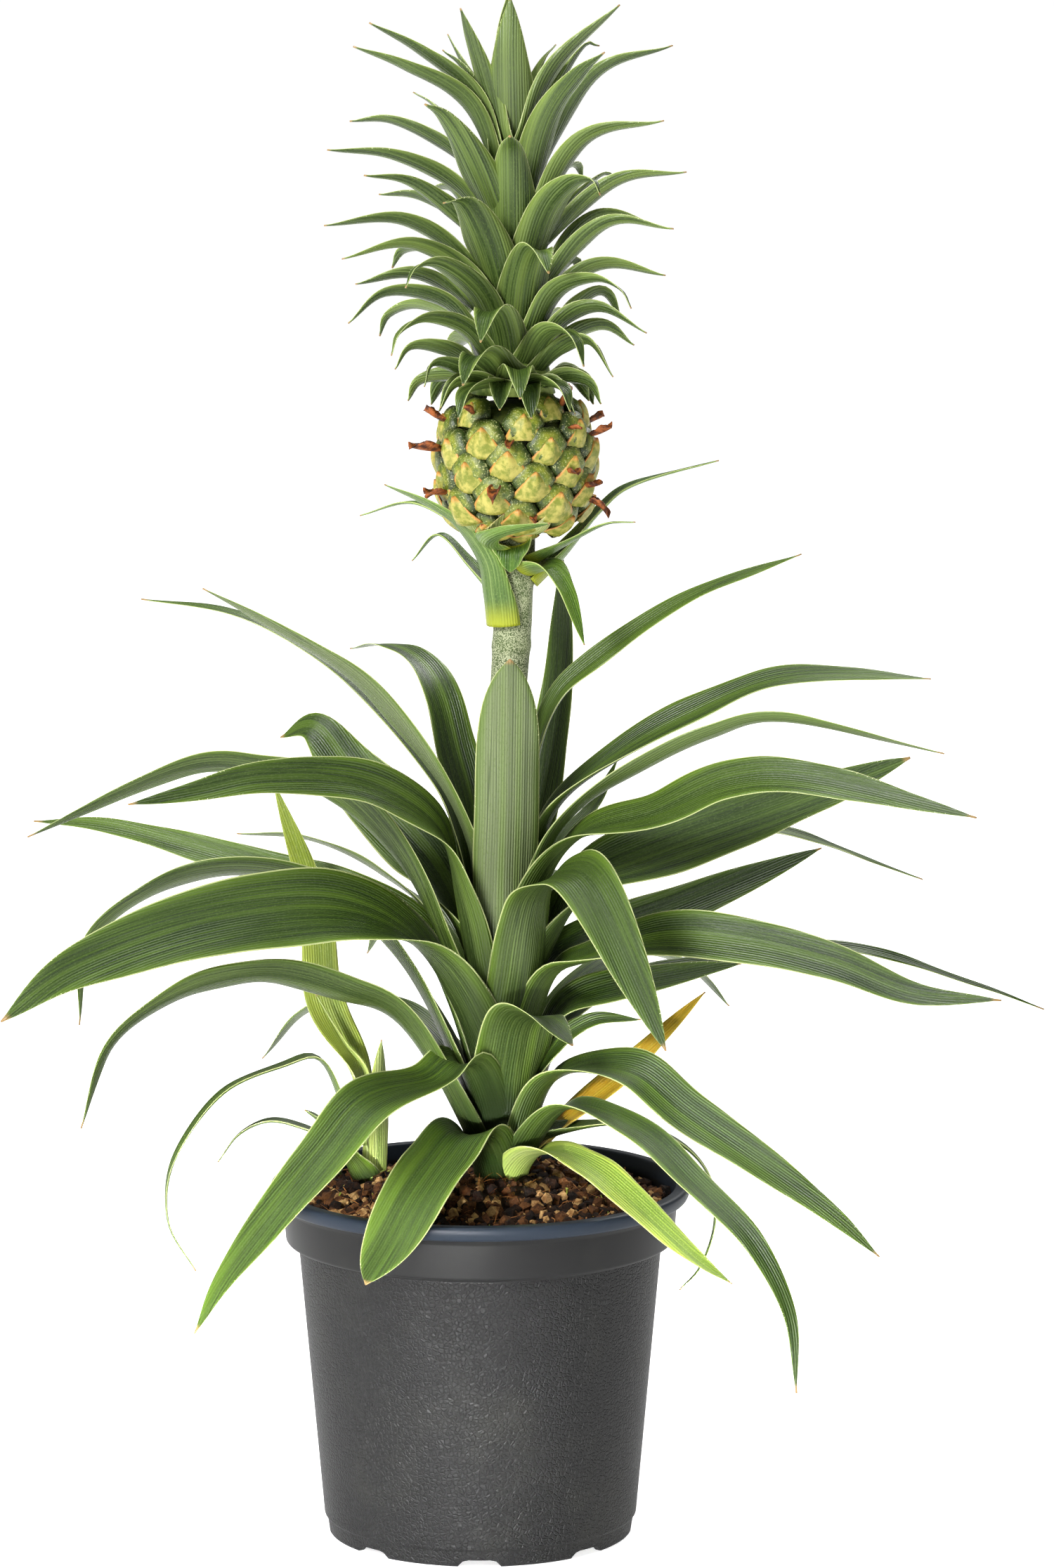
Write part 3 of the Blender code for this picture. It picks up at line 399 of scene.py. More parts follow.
# ---- nodes ----
def feed(tree, socket, value):
    """Link an output to a socket or set its value; a triple is a display colour of 0 to 255."""
    if isinstance(value, bpy.types.NodeSocket):
        tree.links.new(value, socket)
    elif isinstance(value, tuple) and len(value) == 3:
        socket.default_value = tuple(((part / 255.0 + 0.055) / 1.055) ** 2.4 if part > 10 else part / 3294.6
                                     for part in value) + (1.0,)
    else:
        socket.default_value = value


def wire(tree, kind, values=None, **settings):
    node = tree.nodes.new(kind)
    for key, value in settings.items():
        setattr(node, key, value)
    for key, value in (values or {}).items():
        feed(tree, node.inputs[key], value)
    return node


def scatter_tree():
    """A tree that adds copies of a piece, set at marked places, to its own geometry."""
    tree = bpy.data.node_groups.new("scatter", "GeometryNodeTree")
    for label, kind in (("Geometry", "Geometry"), ("Places", "Object"), ("Piece", "Object"),
                        ("Smallest", "Float"), ("Largest", "Float"), ("Seed", "Int"),
                        ("Finish", "Material")):
        tree.interface.new_socket(label, in_out="INPUT", socket_type="NodeSocket" + kind)
    tree.interface.new_socket("Geometry", in_out="OUTPUT", socket_type="NodeSocketGeometry")
    given = wire(tree, "NodeGroupInput").outputs
    places = wire(tree, "GeometryNodeObjectInfo", {"Object": given["Places"]})
    piece = wire(tree, "GeometryNodeObjectInfo", {"Object": given["Piece"]})
    marks = {}
    for label, kind in (("facing", "FLOAT_VECTOR"), ("upward", "FLOAT_VECTOR"), ("size", "FLOAT")):
        mark = wire(tree, "GeometryNodeInputNamedAttribute", {"Name": label}, data_type=kind)
        marks[label] = mark.outputs["Attribute"]
    aim = wire(tree, "FunctionNodeAxesToRotation",
               {"Primary Axis": marks["facing"], "Secondary Axis": marks["upward"]})
    spread = wire(tree, "FunctionNodeRandomValue",
                  {2: given["Smallest"], 3: given["Largest"], "Seed": given["Seed"]})
    size = wire(tree, "ShaderNodeMath", {0: spread.outputs[1], 1: marks["size"]}, operation="MULTIPLY")
    copies = wire(tree, "GeometryNodeInstanceOnPoints",
                  {"Points": places.outputs["Geometry"], "Instance": piece.outputs["Geometry"],
                   "Rotation": aim.outputs["Rotation"], "Scale": size.outputs[0]})
    real = wire(tree, "GeometryNodeRealizeInstances", {"Geometry": copies.outputs["Instances"]})
    coat = wire(tree, "GeometryNodeSetMaterial",
                {"Geometry": real.outputs["Geometry"], "Material": given["Finish"]})
    both = wire(tree, "GeometryNodeJoinGeometry", {"Geometry": coat.outputs["Geometry"]})
    tree.links.new(given["Geometry"], both.inputs["Geometry"])
    wire(tree, "NodeGroupOutput", {"Geometry": both.outputs["Geometry"]})
    return tree


SCATTER = scatter_tree()


def scatter(obj, places, piece, finish, smallest, largest, seed):
    """Add copies of a mesh to an object, at (position, facing, upward, size) places."""
    spots, facings, upwards, sizes = zip(*places)
    cloud = new_mesh("places", spots, [])
    mark_points(cloud, "facing", facings)
    mark_points(cloud, "upward", upwards)
    mark_points(cloud, "size", sizes)
    cloud_object = add_object("places", cloud)
    piece_object = add_object("piece", piece)
    modifier = obj.modifiers.new("scatter", "NODES")
    modifier.node_group = SCATTER
    values = {"Places": cloud_object, "Piece": piece_object, "Smallest": smallest,
              "Largest": largest, "Seed": seed, "Finish": finish}
    for item in SCATTER.interface.items_tree:
        if item.in_out == "INPUT" and item.name in values:
            modifier[item.identifier] = values[item.name]
    mesh = baked(obj)
    obj.modifiers.clear()
    obj.data = mesh
    bpy.data.objects.remove(cloud_object)
    bpy.data.objects.remove(piece_object)


# ---- finishes ----
class Finish:
    """A material, and the few kinds of node that the finishes here are made of."""

    def __init__(self, name, specular=0.5):
        self.material = bpy.data.materials.new(name)
        self.material.use_nodes = True
        self.tree = self.material.node_tree
        self.shader = self.tree.nodes["Principled BSDF"]
        self.shader.inputs["Specular IOR Level"].default_value = specular

    def put(self, kind, values=None, out=0, **settings):
        return wire(self.tree, "ShaderNode" + kind, values, **settings).outputs[out]

    def math(self, operation, first, second=0.0):
        return self.put("Math", {0: first, 1: second}, operation=operation)

    def plus(self, first, second):
        return self.math("ADD", first, second)

    def times(self, first, second):
        return self.math("MULTIPLY", first, second)

    def rest(self, share):
        return self.math("SUBTRACT", 1.0, share)

    def step(self, value, low, high):
        return self.put("MapRange", {"Value": value, "From Min": low, "From Max": high},
                        interpolation_type="SMOOTHSTEP")

    def mix(self, factor, first, second):
        return self.put("Mix", {0: factor, 6: first, 7: second}, out=2, data_type="RGBA")

    def parts(self, vector):
        return tuple(wire(self.tree, "ShaderNodeSeparateXYZ", {0: vector}).outputs)

    def join(self, x, y, z):
        return self.put("CombineXYZ", {0: x, 1: y, 2: z})

    def noise(self, vector, scale, detail=2.0, rough=0.5):
        return self.put("TexNoise", {"Vector": vector, "Scale": scale, "Detail": detail,
                                     "Roughness": rough})

    def local(self):
        return self.put("TexCoord", out=3)

    def attribute(self, name, out=1):
        return self.put("Attribute", out=out, attribute_name=name)

    def bump(self, height, distance):
        normal = self.put("Bump", {"Height": height, "Distance": distance, "Strength": 1.0})
        feed(self.tree, self.shader.inputs["Normal"], normal)

    def coat(self, colour, roughness):
        feed(self.tree, self.shader.inputs["Base Color"], colour)
        feed(self.tree, self.shader.inputs["Roughness"], roughness)
        return self.material


def leaf_finish(name, dark, light, margin, under, under_light, rim, foot, foot_reach=0.14):
    """Living leaf: lengthwise veins, mealy scurf, a bright margin and a pale rim, with painted light and
    shade in broad lengthwise bands, dark creases and each leaf's tone, and painted shade in the darkened
    underside and foot colours of the dark green leaves.
    """
    f = Finish(name, specular=0.32)
    across, along, seed = f.parts(f.attribute("leaf_mm"))
    edge, share, upper = f.parts(f.attribute("leaf_share"))
    tone = f.attribute("leaf_tone", out=2)
    streak = f.noise(f.join(f.times(across, 1.5), f.times(along, 0.018), seed), 1.0, 3.0, 0.6)
    cloud = f.noise(f.join(f.times(across, 0.10), f.times(along, 0.03), seed), 1.0, 2.0)
    meal = f.noise(f.join(f.times(across, 2.8), f.times(along, 1.3), seed), 1.0, 2.0, 0.7)
    ribs = f.math("SINE", f.times(across, 8.6))
    # noise for painted light and shade: broad lengthwise bands, with thin crease lines where it crosses its
    # middle
    shade_band_noise = f.noise(f.join(f.times(across, 0.33), f.times(along, 0.004), seed), 1.0, 1.0)
    off_crease = f.math("ABSOLUTE", f.math("SUBTRACT", shade_band_noise, 0.5))
    crease = f.rest(f.step(off_crease, 0.0, 0.02))
    streaks = f.step(f.plus(f.times(streak, 0.7), f.times(cloud, 0.3)), 0.38, 0.62)
    face = f.mix(streaks, dark, light)
    # each leaf's tone, mostly painted light and shade, partly its age: a bright tone lifts the upper face
    # towards the margin colour and the underside towards a pale grey green, a dark tone darkens the upper
    # face
    face = f.mix(f.times(f.step(tone, 0.5, 1.0), 0.75), face, margin)
    face = f.mix(f.times(f.rest(f.step(tone, 0.0, 0.45)), 0.6), face, dark)
    # the underside colours: the leaf's own grey-green underside, darkened as painted shade of the side turned
    # away from the light
    back = f.mix(streaks, under, under_light)
    back = f.mix(f.times(f.step(tone, 0.72, 1.0), 0.8), back, (122, 134, 94))
    colour = f.mix(upper, back, face)
    lined = f.times(f.step(ribs, 0.0, 1.0), 0.3)
    colour = f.mix(lined, colour, dark)
    # painted light and shade: broad lengthwise bands lifted towards the margin colour and sunk towards the
    # dark colour, standing in for light across the curved blade
    colour = f.mix(f.times(f.step(shade_band_noise, 0.5, 0.7), 0.45), colour, margin)
    colour = f.mix(f.times(f.rest(f.step(shade_band_noise, 0.3, 0.5)), 0.5), colour, dark)
    # painted shade: thin dark crease lines along the blade
    colour = f.mix(f.times(crease, 0.6), colour, dark)
    border = f.times(f.step(edge, 0.68, 0.96), f.plus(0.15, f.times(cloud, 0.8)))
    colour = f.mix(border, colour, margin)
    mealy = f.times(f.step(meal, 0.5, 0.7), f.plus(0.55, f.times(upper, -0.15)))
    colour = f.mix(mealy, colour, under_light)
    colour = f.mix(f.times(f.step(edge, 0.955, 0.985), 0.85), colour, rim)
    # towards its foot a leaf takes the foot colour: for the leaf_blade finish a dark green that is painted
    # shade of the rosette's heart; the young leaves' paler foot is their own colour
    colour = f.mix(f.rest(f.step(share, 0.0, foot_reach)), colour, foot)
    colour = f.mix(f.step(share, 0.978, 0.996), colour, (150, 122, 78))
    f.bump(f.plus(f.times(ribs, 0.35), f.plus(streak, f.times(meal, 0.5))), 0.14 * MM)
    gloss = f.plus(0.3, f.plus(f.times(meal, 0.12), f.times(mealy, 0.4)))
    return f.coat(colour, gloss)


def plain_finish(name, first, second, scale, roughness, bump=0.1, detail=3.0):
    """Two colours clouded together in the piece's own space."""
    f = Finish(name, specular=0.3)
    cloud = f.noise(f.local(), scale, detail, 0.6)
    f.bump(cloud, bump * MM)
    return f.coat(f.mix(f.step(cloud, 0.35, 0.65), first, second), roughness)


def stalk_finish():
    """Mealy stalk: dark green between pale grains of scurf."""
    f = Finish("stalk_scurf", specular=0.35)
    spot = f.local()
    grain = f.put("TexVoronoi", {"Vector": spot, "Scale": 2600.0})
    cloud = f.noise(spot, 350.0, 3.0)
    grains = f.plus(f.times(grain, 0.75), f.times(cloud, 0.5))
    colour = f.mix(f.step(grains, 0.35, 0.85), (190, 194, 158), (70, 84, 48))
    colour = f.mix(f.times(f.step(f.noise(spot, 60.0), 0.4, 0.65), 0.3), colour, (120, 138, 78))
    f.bump(grains, -0.35 * MM)
    return f.coat(colour, 0.62)


def pot_finish(shoulder, lip):
    """Black moulded plastic: a leather grain on the body, smooth band and lip."""
    f = Finish("moulded_black_plastic", specular=0.12)
    spot = f.local()
    height = f.parts(spot)[2]
    cell = f.put("TexVoronoi", {"Vector": spot, "Scale": 820.0}, feature="DISTANCE_TO_EDGE")
    grain = f.plus(f.step(cell, 0.0, 0.22), f.times(f.noise(spot, 1500.0, 2.0), 0.6))
    body = f.rest(f.step(height, shoulder - 1.6 * MM, shoulder - 1.0 * MM))
    fine = f.noise(spot, 500.0, 3.0)
    f.bump(f.plus(f.times(grain, body), f.times(fine, 0.05)), 0.16 * MM)
    dust = f.noise(spot, 35.0, 4.0, 0.65)
    colour = f.mix(f.step(dust, 0.45, 0.8), (18, 18, 18), (26, 26, 24))
    colour = f.mix(f.step(height, lip - 0.5 * MM, lip + 0.5 * MM), colour, (24, 30, 38))
    gloss = f.plus(0.4, f.plus(f.times(body, 0.04), f.times(dust, 0.1)))
    return f.coat(colour, gloss)


def soil_finish(name, dark, light, scale):
    f = Finish(name, specular=0.2)
    spot = f.local()
    lumps = f.noise(spot, scale, 6.0, 0.7)
    tint = f.noise(spot, scale * 0.25, 2.0)
    colour = f.mix(f.step(lumps, 0.35, 0.7), dark, light)
    colour = f.mix(f.times(f.step(tint, 0.5, 0.75), 0.5), colour, (96, 62, 36))
    f.bump(lumps, 0.6 * MM)
    return f.coat(colour, 0.93)


def eye_finish():
    """A fruitlet: yellow green, with a painted highlight at its middle and painted shade in the seams round
    it.
    """
    f = Finish("fruitlet_skin", specular=0.5)
    spot = f.local()
    ring = f.attribute("eye", out=2)
    cloud = f.noise(spot, 420.0, 4.0, 0.65)
    fine = f.noise(spot, 1900.0, 3.0, 0.6)
    colour = f.mix(f.step(cloud, 0.35, 0.65), (68, 88, 14), (126, 132, 36))
    shifted = f.plus(ring, f.times(f.math("SUBTRACT", cloud, 0.5), 0.6))
    # painted highlight: pale whitish yellow at the eye's middle
    colour = f.mix(f.times(f.rest(f.step(shifted, 0.0, 0.4)), 0.7), colour, (188, 182, 128))
    # painted shade: dark green in the seams round the eye
    colour = f.mix(f.step(shifted, 0.6, 0.95), colour, (40, 56, 12))
    colour = f.mix(f.times(f.step(fine, 0.56, 0.66), 0.5), colour, (206, 206, 140))
    f.bump(f.plus(cloud, f.times(fine, 0.4)), 0.3 * MM)
    return f.coat(colour, 0.42)


def bract_finish():
    """A fruit bract: yellow green, drying to orange brown along its rim and tip."""
    f = Finish("bract", specular=0.4)
    spot = f.local()
    rim = f.attribute("rim", out=2)
    cloud = f.noise(spot, 500.0, 4.0, 0.6)
    shifted = f.plus(rim, f.times(f.math("SUBTRACT", cloud, 0.5), 0.5))
    colour = f.mix(f.step(cloud, 0.35, 0.65), (112, 120, 34), (172, 162, 80))
    colour = f.mix(f.step(shifted, 0.55, 0.85), colour, (186, 136, 66))
    colour = f.mix(f.step(shifted, 0.88, 1.08), colour, (120, 62, 26))
    f.bump(cloud, 0.25 * MM)
    return f.coat(colour, 0.5)


# ---- pot ----
def rounded(corners, steps=5):
    """An outline with each (radius, height, fillet) corner rounded."""
    spots = [Vector((r, z)) for r, z, _ in corners]
    outline = [spots[0]]
    for index in range(1, len(corners) - 1):
        here, fillet = spots[index], corners[index][2]
        before, after = spots[index - 1] - here, spots[index + 1] - here
        a = here + before.normalized() * min(fillet, 0.45 * before.length)
        b = here + after.normalized() * min(fillet, 0.45 * after.length)
        for step in range(steps):
            t = step / (steps - 1)
            outline.append((1 - t) ** 2 * a + 2 * t * (1 - t) * here + t ** 2 * b)
    outline.append(spots[-1])
    return outline


def lathe(name, outline, sides, shift=None):
    """A closed turned mesh from an outline whose two ends are on the axis."""
    verts = []
    for radius, height in [tuple(point) for point in outline[1:-1]]:
        for step in range(sides):
            angle = 2.0 * math.pi * step / sides
            point = Vector((radius * math.cos(angle), radius * math.sin(angle), height))
            verts.append(shift(point, angle) if shift else point)
    rings = len(outline) - 2
    faces = weave(rings, sides, True)
    for ring, end in ((0, outline[0]), (rings - 1, outline[-1])):
        centre = len(verts)
        verts.append(Vector((0.0, 0.0, end[1])))
        for step in range(sides):
            faces.append((centre, ring * sides + step, ring * sides + (step + 1) % sides))
    mesh = new_mesh(name, verts, faces)
    tidy_normals(mesh)
    return mesh


LIP_BOTTOM = POT_HEIGHT - 4.2 * MM
SHOULDER = LIP_BOTTOM - 12.0 * MM
BAND_TOP = RIM_RADIUS - 3.8 * MM
BAND_BOTTOM = BAND_TOP - 0.8 * MM
BODY_TOP = BAND_BOTTOM - 3.6 * MM
BODY_BOTTOM = 44.7 * MM
FOOT_RADIUS = BODY_BOTTOM - 0.7 * MM
WALL = 1.2 * MM
DISC_RADIUS = 23.0 * MM
RING_INSIDE = FOOT_RADIUS - 3.7 * MM
FLOOR_UNDER = 2.4 * MM
NOTCH_HEIGHT = 2.0 * MM
DRAIN_HOLES = 8
DRAIN_RADIUS = 3.2 * MM


def pot_foot(point, angle):
    """Lift the foot ring at its drain notches."""
    turn = (angle + 0.5 * math.pi) * DRAIN_HOLES / (2.0 * math.pi)
    off = abs(turn - round(turn)) * 2.0 * math.pi / DRAIN_HOLES * FOOT_RADIUS
    if point.z < 2.2 * MM and math.hypot(point.x, point.y) > DISC_RADIUS + 8.0 * MM:
        lift = NOTCH_HEIGHT * (1.0 - float(smoothstep(4.4 * MM, 5.6 * MM, off)))
        point.z = max(point.z, lift)
    return point


def build_pot():
    floor = FLOOR_UNDER + WALL
    corners = (
        (0.0, 0.0, 0.0), (DISC_RADIUS, 0.0, 0.5 * MM), (DISC_RADIUS + 1.4 * MM, FLOOR_UNDER, 0.5 * MM),
        (RING_INSIDE, FLOOR_UNDER, 0.4 * MM), (FOOT_RADIUS - 3.3 * MM, 0.0, 0.5 * MM),
        (FOOT_RADIUS - 0.6 * MM, 0.0, 0.8 * MM), (FOOT_RADIUS, 4.8 * MM, 0.4 * MM),
        (BODY_BOTTOM, 5.3 * MM, 0.5 * MM), (BODY_TOP, SHOULDER - 1.1 * MM, 0.8 * MM),
        (BODY_TOP + 0.8 * MM, SHOULDER - 0.1 * MM, 0.5 * MM), (BAND_BOTTOM, SHOULDER, 1.0 * MM),
        (BAND_TOP, LIP_BOTTOM - 1.6 * MM, 0.3 * MM), (BAND_TOP + 0.7 * MM, LIP_BOTTOM, 0.4 * MM),
        (RIM_RADIUS - 0.9 * MM, LIP_BOTTOM, 0.9 * MM), (RIM_RADIUS, POT_HEIGHT - 1.9 * MM, 1.4 * MM),
        (RIM_RADIUS - 0.4 * MM, POT_HEIGHT, 1.2 * MM), (BAND_TOP - 0.2 * MM, POT_HEIGHT, 0.7 * MM),
        (BAND_TOP - WALL, LIP_BOTTOM + 1.0 * MM, 1.0 * MM),
        (BAND_BOTTOM - WALL, SHOULDER + WALL, 0.6 * MM), (BODY_TOP - WALL, SHOULDER - 0.6 * MM, 0.8 * MM),
        (BODY_BOTTOM - WALL, 5.4 * MM, 0.8 * MM), (FOOT_RADIUS - WALL - 0.5 * MM, floor, 0.5 * MM),
        (DISC_RADIUS + 2.2 * MM, floor, 0.4 * MM), (DISC_RADIUS - 0.4 * MM, WALL, 0.4 * MM), (0.0, WALL, 0.0),
    )
    pot = add_object("nursery_pot", lathe("nursery_pot", rounded(corners), 176, pot_foot))
    bm = bmesh.new()
    channel = 0.5 * (DISC_RADIUS + 1.4 * MM + RING_INSIDE)
    for index in range(DRAIN_HOLES):
        angle = 2.0 * math.pi * (index + 0.5) / DRAIN_HOLES
        hole = bmesh.ops.create_cone(bm, cap_ends=True, segments=32, radius1=DRAIN_RADIUS,
                                     radius2=DRAIN_RADIUS, depth=5.0 * MM)
        bmesh.ops.translate(bm, verts=hole["verts"],
                            vec=(channel * math.cos(angle), channel * math.sin(angle), 3.0 * MM))
    cutter = add_object("drill", mesh_of(bm, "drill"))
    cut = pot.modifiers.new("holes", "BOOLEAN")
    cut.operation = "DIFFERENCE"
    cut.object = cutter
    pot_mesh = baked(pot)
    pot.modifiers.clear()
    pot.data = pot_mesh
    bpy.data.objects.remove(cutter)
    pot_mesh.shade_smooth()
    pot_mesh.set_sharp_from_angle(angle=math.radians(38.0))
    pot_mesh.materials.append(pot_finish(SHOULDER, LIP_BOTTOM))
    settle(pot, "pot")


def settle(obj, node):
    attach(obj, "root")
    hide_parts(node)


# ---- soil ----
HEADSPACE = 6.0 * MM
SOIL_EDGE = BAND_TOP - WALL - 0.6 * MM


def soil_level(radius):
    edge = POT_HEIGHT - HEADSPACE
    return GROUND + (edge - GROUND) * float(smoothstep(12.0 * MM, RIM_RADIUS - 8.0 * MM, radius))


def soil_lump(x, y):
    """How far crumbs and hollows lift the surface at a spot."""
    coarse = noise.fractal(Vector((x, y, 0.0)) / (9.0 * MM), 1.0, 2.2, 3)
    fine = noise.fractal(Vector((x, y, 0.3)) / (2.6 * MM), 0.8, 2.2, 3)
    return (1.5 * coarse + 1.1 * fine) * MM


def any_way(luck):
    return Vector([luck.gauss(0, 1) for _ in range(3)]).normalized()


def build_soil(peat):
    top = [(SOIL_EDGE * index / 70.0, soil_level(SOIL_EDGE * index / 70.0)) for index in range(71)]
    wall = [(BODY_TOP - WALL - 0.4 * MM, SHOULDER - 1.0 * MM), (BODY_BOTTOM - WALL - 0.4 * MM, 5.4 * MM),
            (FOOT_RADIUS - 2.4 * MM, 4.1 * MM), (DISC_RADIUS + 2.0 * MM, 4.1 * MM),
            (DISC_RADIUS - 0.8 * MM, WALL + 0.4 * MM), (0.0, WALL + 0.4 * MM)]
    lowest = SHOULDER + 2.0 * MM

    def crumble(point, angle):
        radius = math.hypot(point.x, point.y)
        if point.z > lowest:
            point.z += soil_lump(point.x, point.y) * (1.0 - float(smoothstep(0.93, 1.0, radius / SOIL_EDGE)))
        return point

    mesh = lathe("peat_soil", top + wall, 220, crumble)
    mesh.shade_smooth()
    mesh.materials.append(peat)
    soil = add_object("peat_soil", mesh)

    def spots(count, seed, low=0.0):
        luck = random.Random(seed)
        found = []
        while len(found) < count:
            radius = SOIL_EDGE * math.sqrt(luck.uniform(low, 0.985))
            angle = luck.uniform(0.0, 2.0 * math.pi)
            x, y = radius * math.cos(angle), radius * math.sin(angle)
            lean, roll = any_way(luck), any_way(luck)
            found.append((Vector((x, y, soil_level(radius) + soil_lump(x, y))), lean, roll, luck))
        return found

    crumb = jagged_ball("crumb", 1.0 * MM, 5)
    # the dark crumbs are near black: partly the peat's own colour, partly painted shade standing in for the
    # black gaps between crumbs
    shades = (("dark", (10, 6, 4), (44, 26, 14)), ("brown", (52, 30, 15), (108, 70, 38)),
              ("tan", (116, 80, 44), (202, 164, 108)))
    for number, (shade, dark, light) in enumerate(shades):
        crumbs = soil_finish("peat_crumb_" + shade, dark, light, 420.0)
        places = [(spot + Vector((0.0, 0.0, 0.3 * MM)), lean, roll, luck.choice((0.4, 0.6, 0.8, 1.1, 1.7)))
                  for spot, lean, roll, luck in spots((1500, 1200, 620)[number], 21 + number)]
        scatter(soil, places, crumb, crumbs, 0.7, 1.3, 3)
    strands = plain_finish("peat_fibre", (92, 52, 24), (170, 112, 56), 300.0, 0.8)
    for number in range(3):
        places = []
        for spot, lean, roll, luck in spots(110, 40 + number):
            flat = Vector((lean.x, lean.y, 0.35 * abs(lean.z))).normalized()
            places.append((spot + Vector((0.0, 0.0, 0.5 * MM)), roll, flat, luck.uniform(0.5, 1.2)))
        fibre = curled_strip("fibre", 8.0 * MM, 0.42 * MM, 3.0 * MM, number)
        scatter(soil, places, fibre, strands, 0.7, 1.2, number)
    moss = plain_finish("moss", (92, 108, 30), (168, 170, 70), 700.0, 0.85)
    places = [(spot + Vector((0.0, 0.0, 0.4 * MM)), lean, roll, luck.uniform(0.5, 1.0))
              for spot, lean, roll, luck in spots(90, 77, 0.25)]
    scatter(soil, places, curled_strip("moss", 3.2 * MM, 1.1 * MM, 1.0 * MM, 5), moss, 0.6, 1.2, 9)
    settle(soil, "soil")


def jagged_ball(name, radius, seed):
    luck = random.Random(seed)
    bm = bmesh.new()
    bmesh.ops.create_icosphere(bm, subdivisions=1, radius=radius)
    for vert in bm.verts:
        vert.co *= luck.uniform(0.6, 1.3)
    return mesh_of(bm, name)


def curled_strip(name, length, width, curl, seed, steps=6):
    """A short closed strand along +X that bends and narrows."""
    luck = random.Random(seed)
    sway = luck.uniform(-1.0, 1.0)
    verts = []
    for step in range(steps + 1):
        t = step / steps
        half = 0.5 * width * (1.0 - 0.7 * t)
        x = length * (t - 0.5)
        y = curl * 0.5 * sway * math.sin(2.6 * t)
        z = curl * (t - 0.5) ** 2
        for dy, dz in ((-half, 0.0), (0.0, 0.5 * half), (half, 0.0), (0.0, -0.5 * half)):
            verts.append((x, y + dy, z + dz))
    mesh = new_mesh(name, verts, tube(steps + 1, 4))
    tidy_normals(mesh)
    mesh.shade_smooth()
    return mesh


# ---- stem and stalk ----
def stalk_axis(height):
    """The axis's distance from the pot's centre, at a height above the ground line."""
    lean = FRUIT_MIDDLE.x - STEM_X
    return STEM_X + lean * float(smoothstep(STALK_START, STALK_END, height))


def build_stem():
    verts = []
    rows, sides = 150, 56
    low = STEM_LOW.z - GROUND + 0.2 * MM
    for row in range(rows):
        height = low + (STALK_END - low) * row / (rows - 1)
        radius = STEM_RADIUS + (STALK_RADIUS - STEM_RADIUS) * float(smoothstep(50 * MM, STALK_START, height))
        radius += (STALK_TOP_RADIUS - STALK_RADIUS) * float(smoothstep(STALK_START, STALK_END, height))
        radius *= 0.98
        for joint in (128.0, 153.0, 172.0):
            radius += 0.35 * MM * math.exp(-((height / MM - joint) / 1.6) ** 2)
        for side in range(sides):
            angle = 2.0 * math.pi * side / sides
            spot = Vector((math.cos(angle), math.sin(angle), height / (14.0 * MM)))
            bulge = radius + 0.22 * MM * noise.noise(spot * 1.7) + 0.1 * MM * math.sin(7.0 * angle)
            verts.append((stalk_axis(height) + bulge * math.cos(angle), bulge * math.sin(angle),
                          GROUND + height))
    mesh = new_mesh("stalk", verts, tube(rows, sides))
    tidy_normals(mesh)
    mesh.shade_smooth()
    mesh.materials.append(stalk_finish())
    settle(add_object("stalk", mesh), "stem")


# ---- fruit ----
EYES = 50
# azimuth, height from the fruit's middle, length in millimetres, droop
PETALS = (
    (196, 12, 8, 0.5), (230, 15, 5, 0.2), (266, 8, 5, -0.6), (200, 4, 11, 0.3), (325, 17, 7, 0.7),
    (318, 11, 5, -0.2), (346, 8, 8, 0.6), (312, -1, 6, 0.1), (332, -6, 7, 0.5), (256, -5, 7, -0.9),
    (206, -8, 8, 0.4), (284, -13, 4, -0.2), (341, -10, 9, -0.7), (20, 10, 7, 0.5), (48, -3, 6, 0.1),
    (75, 9, 6, -0.4), (98, -9, 7, 0.3), (120, 12, 6, 0.6), (143, 1, 8, 0.2), (168, -9, 6, -0.5),
)


def barrel(level, azimuth, swell=0.0):
    """A point on the fruit's smooth barrel, and the way out from it."""
    squareness = 3.3
    radius = (FRUIT_RADIUS - 2.6 * MM + swell) * (1.0 - abs(level) ** squareness) ** (1.0 / squareness)
    point = FRUIT_MIDDLE + Vector((radius * math.cos(azimuth), radius * math.sin(azimuth),
                                   (FRUIT_HALF - 1.6 * MM + swell) * level))
    steep = math.copysign(abs(level) ** 3.0, level)
    out = Vector((math.cos(azimuth), math.sin(azimuth), 1.3 * steep)).normalized()
    return point, out


def eye_mesh():
    """One fruitlet: a plump, slightly pointed cushion that looks along +Z, its top at +X."""
    bm = bmesh.new()
    bmesh.ops.create_uvsphere(bm, u_segments=20, v_segments=12, radius=1.0)
    layer = bm.verts.layers.float.new("eye")
    for vert in bm.verts:
        x, y, z = vert.co
        angle = math.atan2(y, x)
        reach = math.hypot(x, y)
        vert[layer] = reach if z > 0.0 else 1.0
        hexed = 1.0 - 0.07 * math.cos(6.0 * angle)
        dimple = 0.25 * math.exp(-(reach / 0.3) ** 2)
        keel = 0.16 * math.exp(-((y - 0.05) / 0.16) ** 2) * (1.0 - reach)
        rise = 1.0 - dimple + keel if z > 0.0 else 1.0
        vert.co = Vector((x * hexed * 5.4 * MM, y * hexed * 6.0 * MM, z * 3.0 * MM * rise))
    mesh = mesh_of(bm, "eye")
    mesh.shade_smooth()
    return mesh


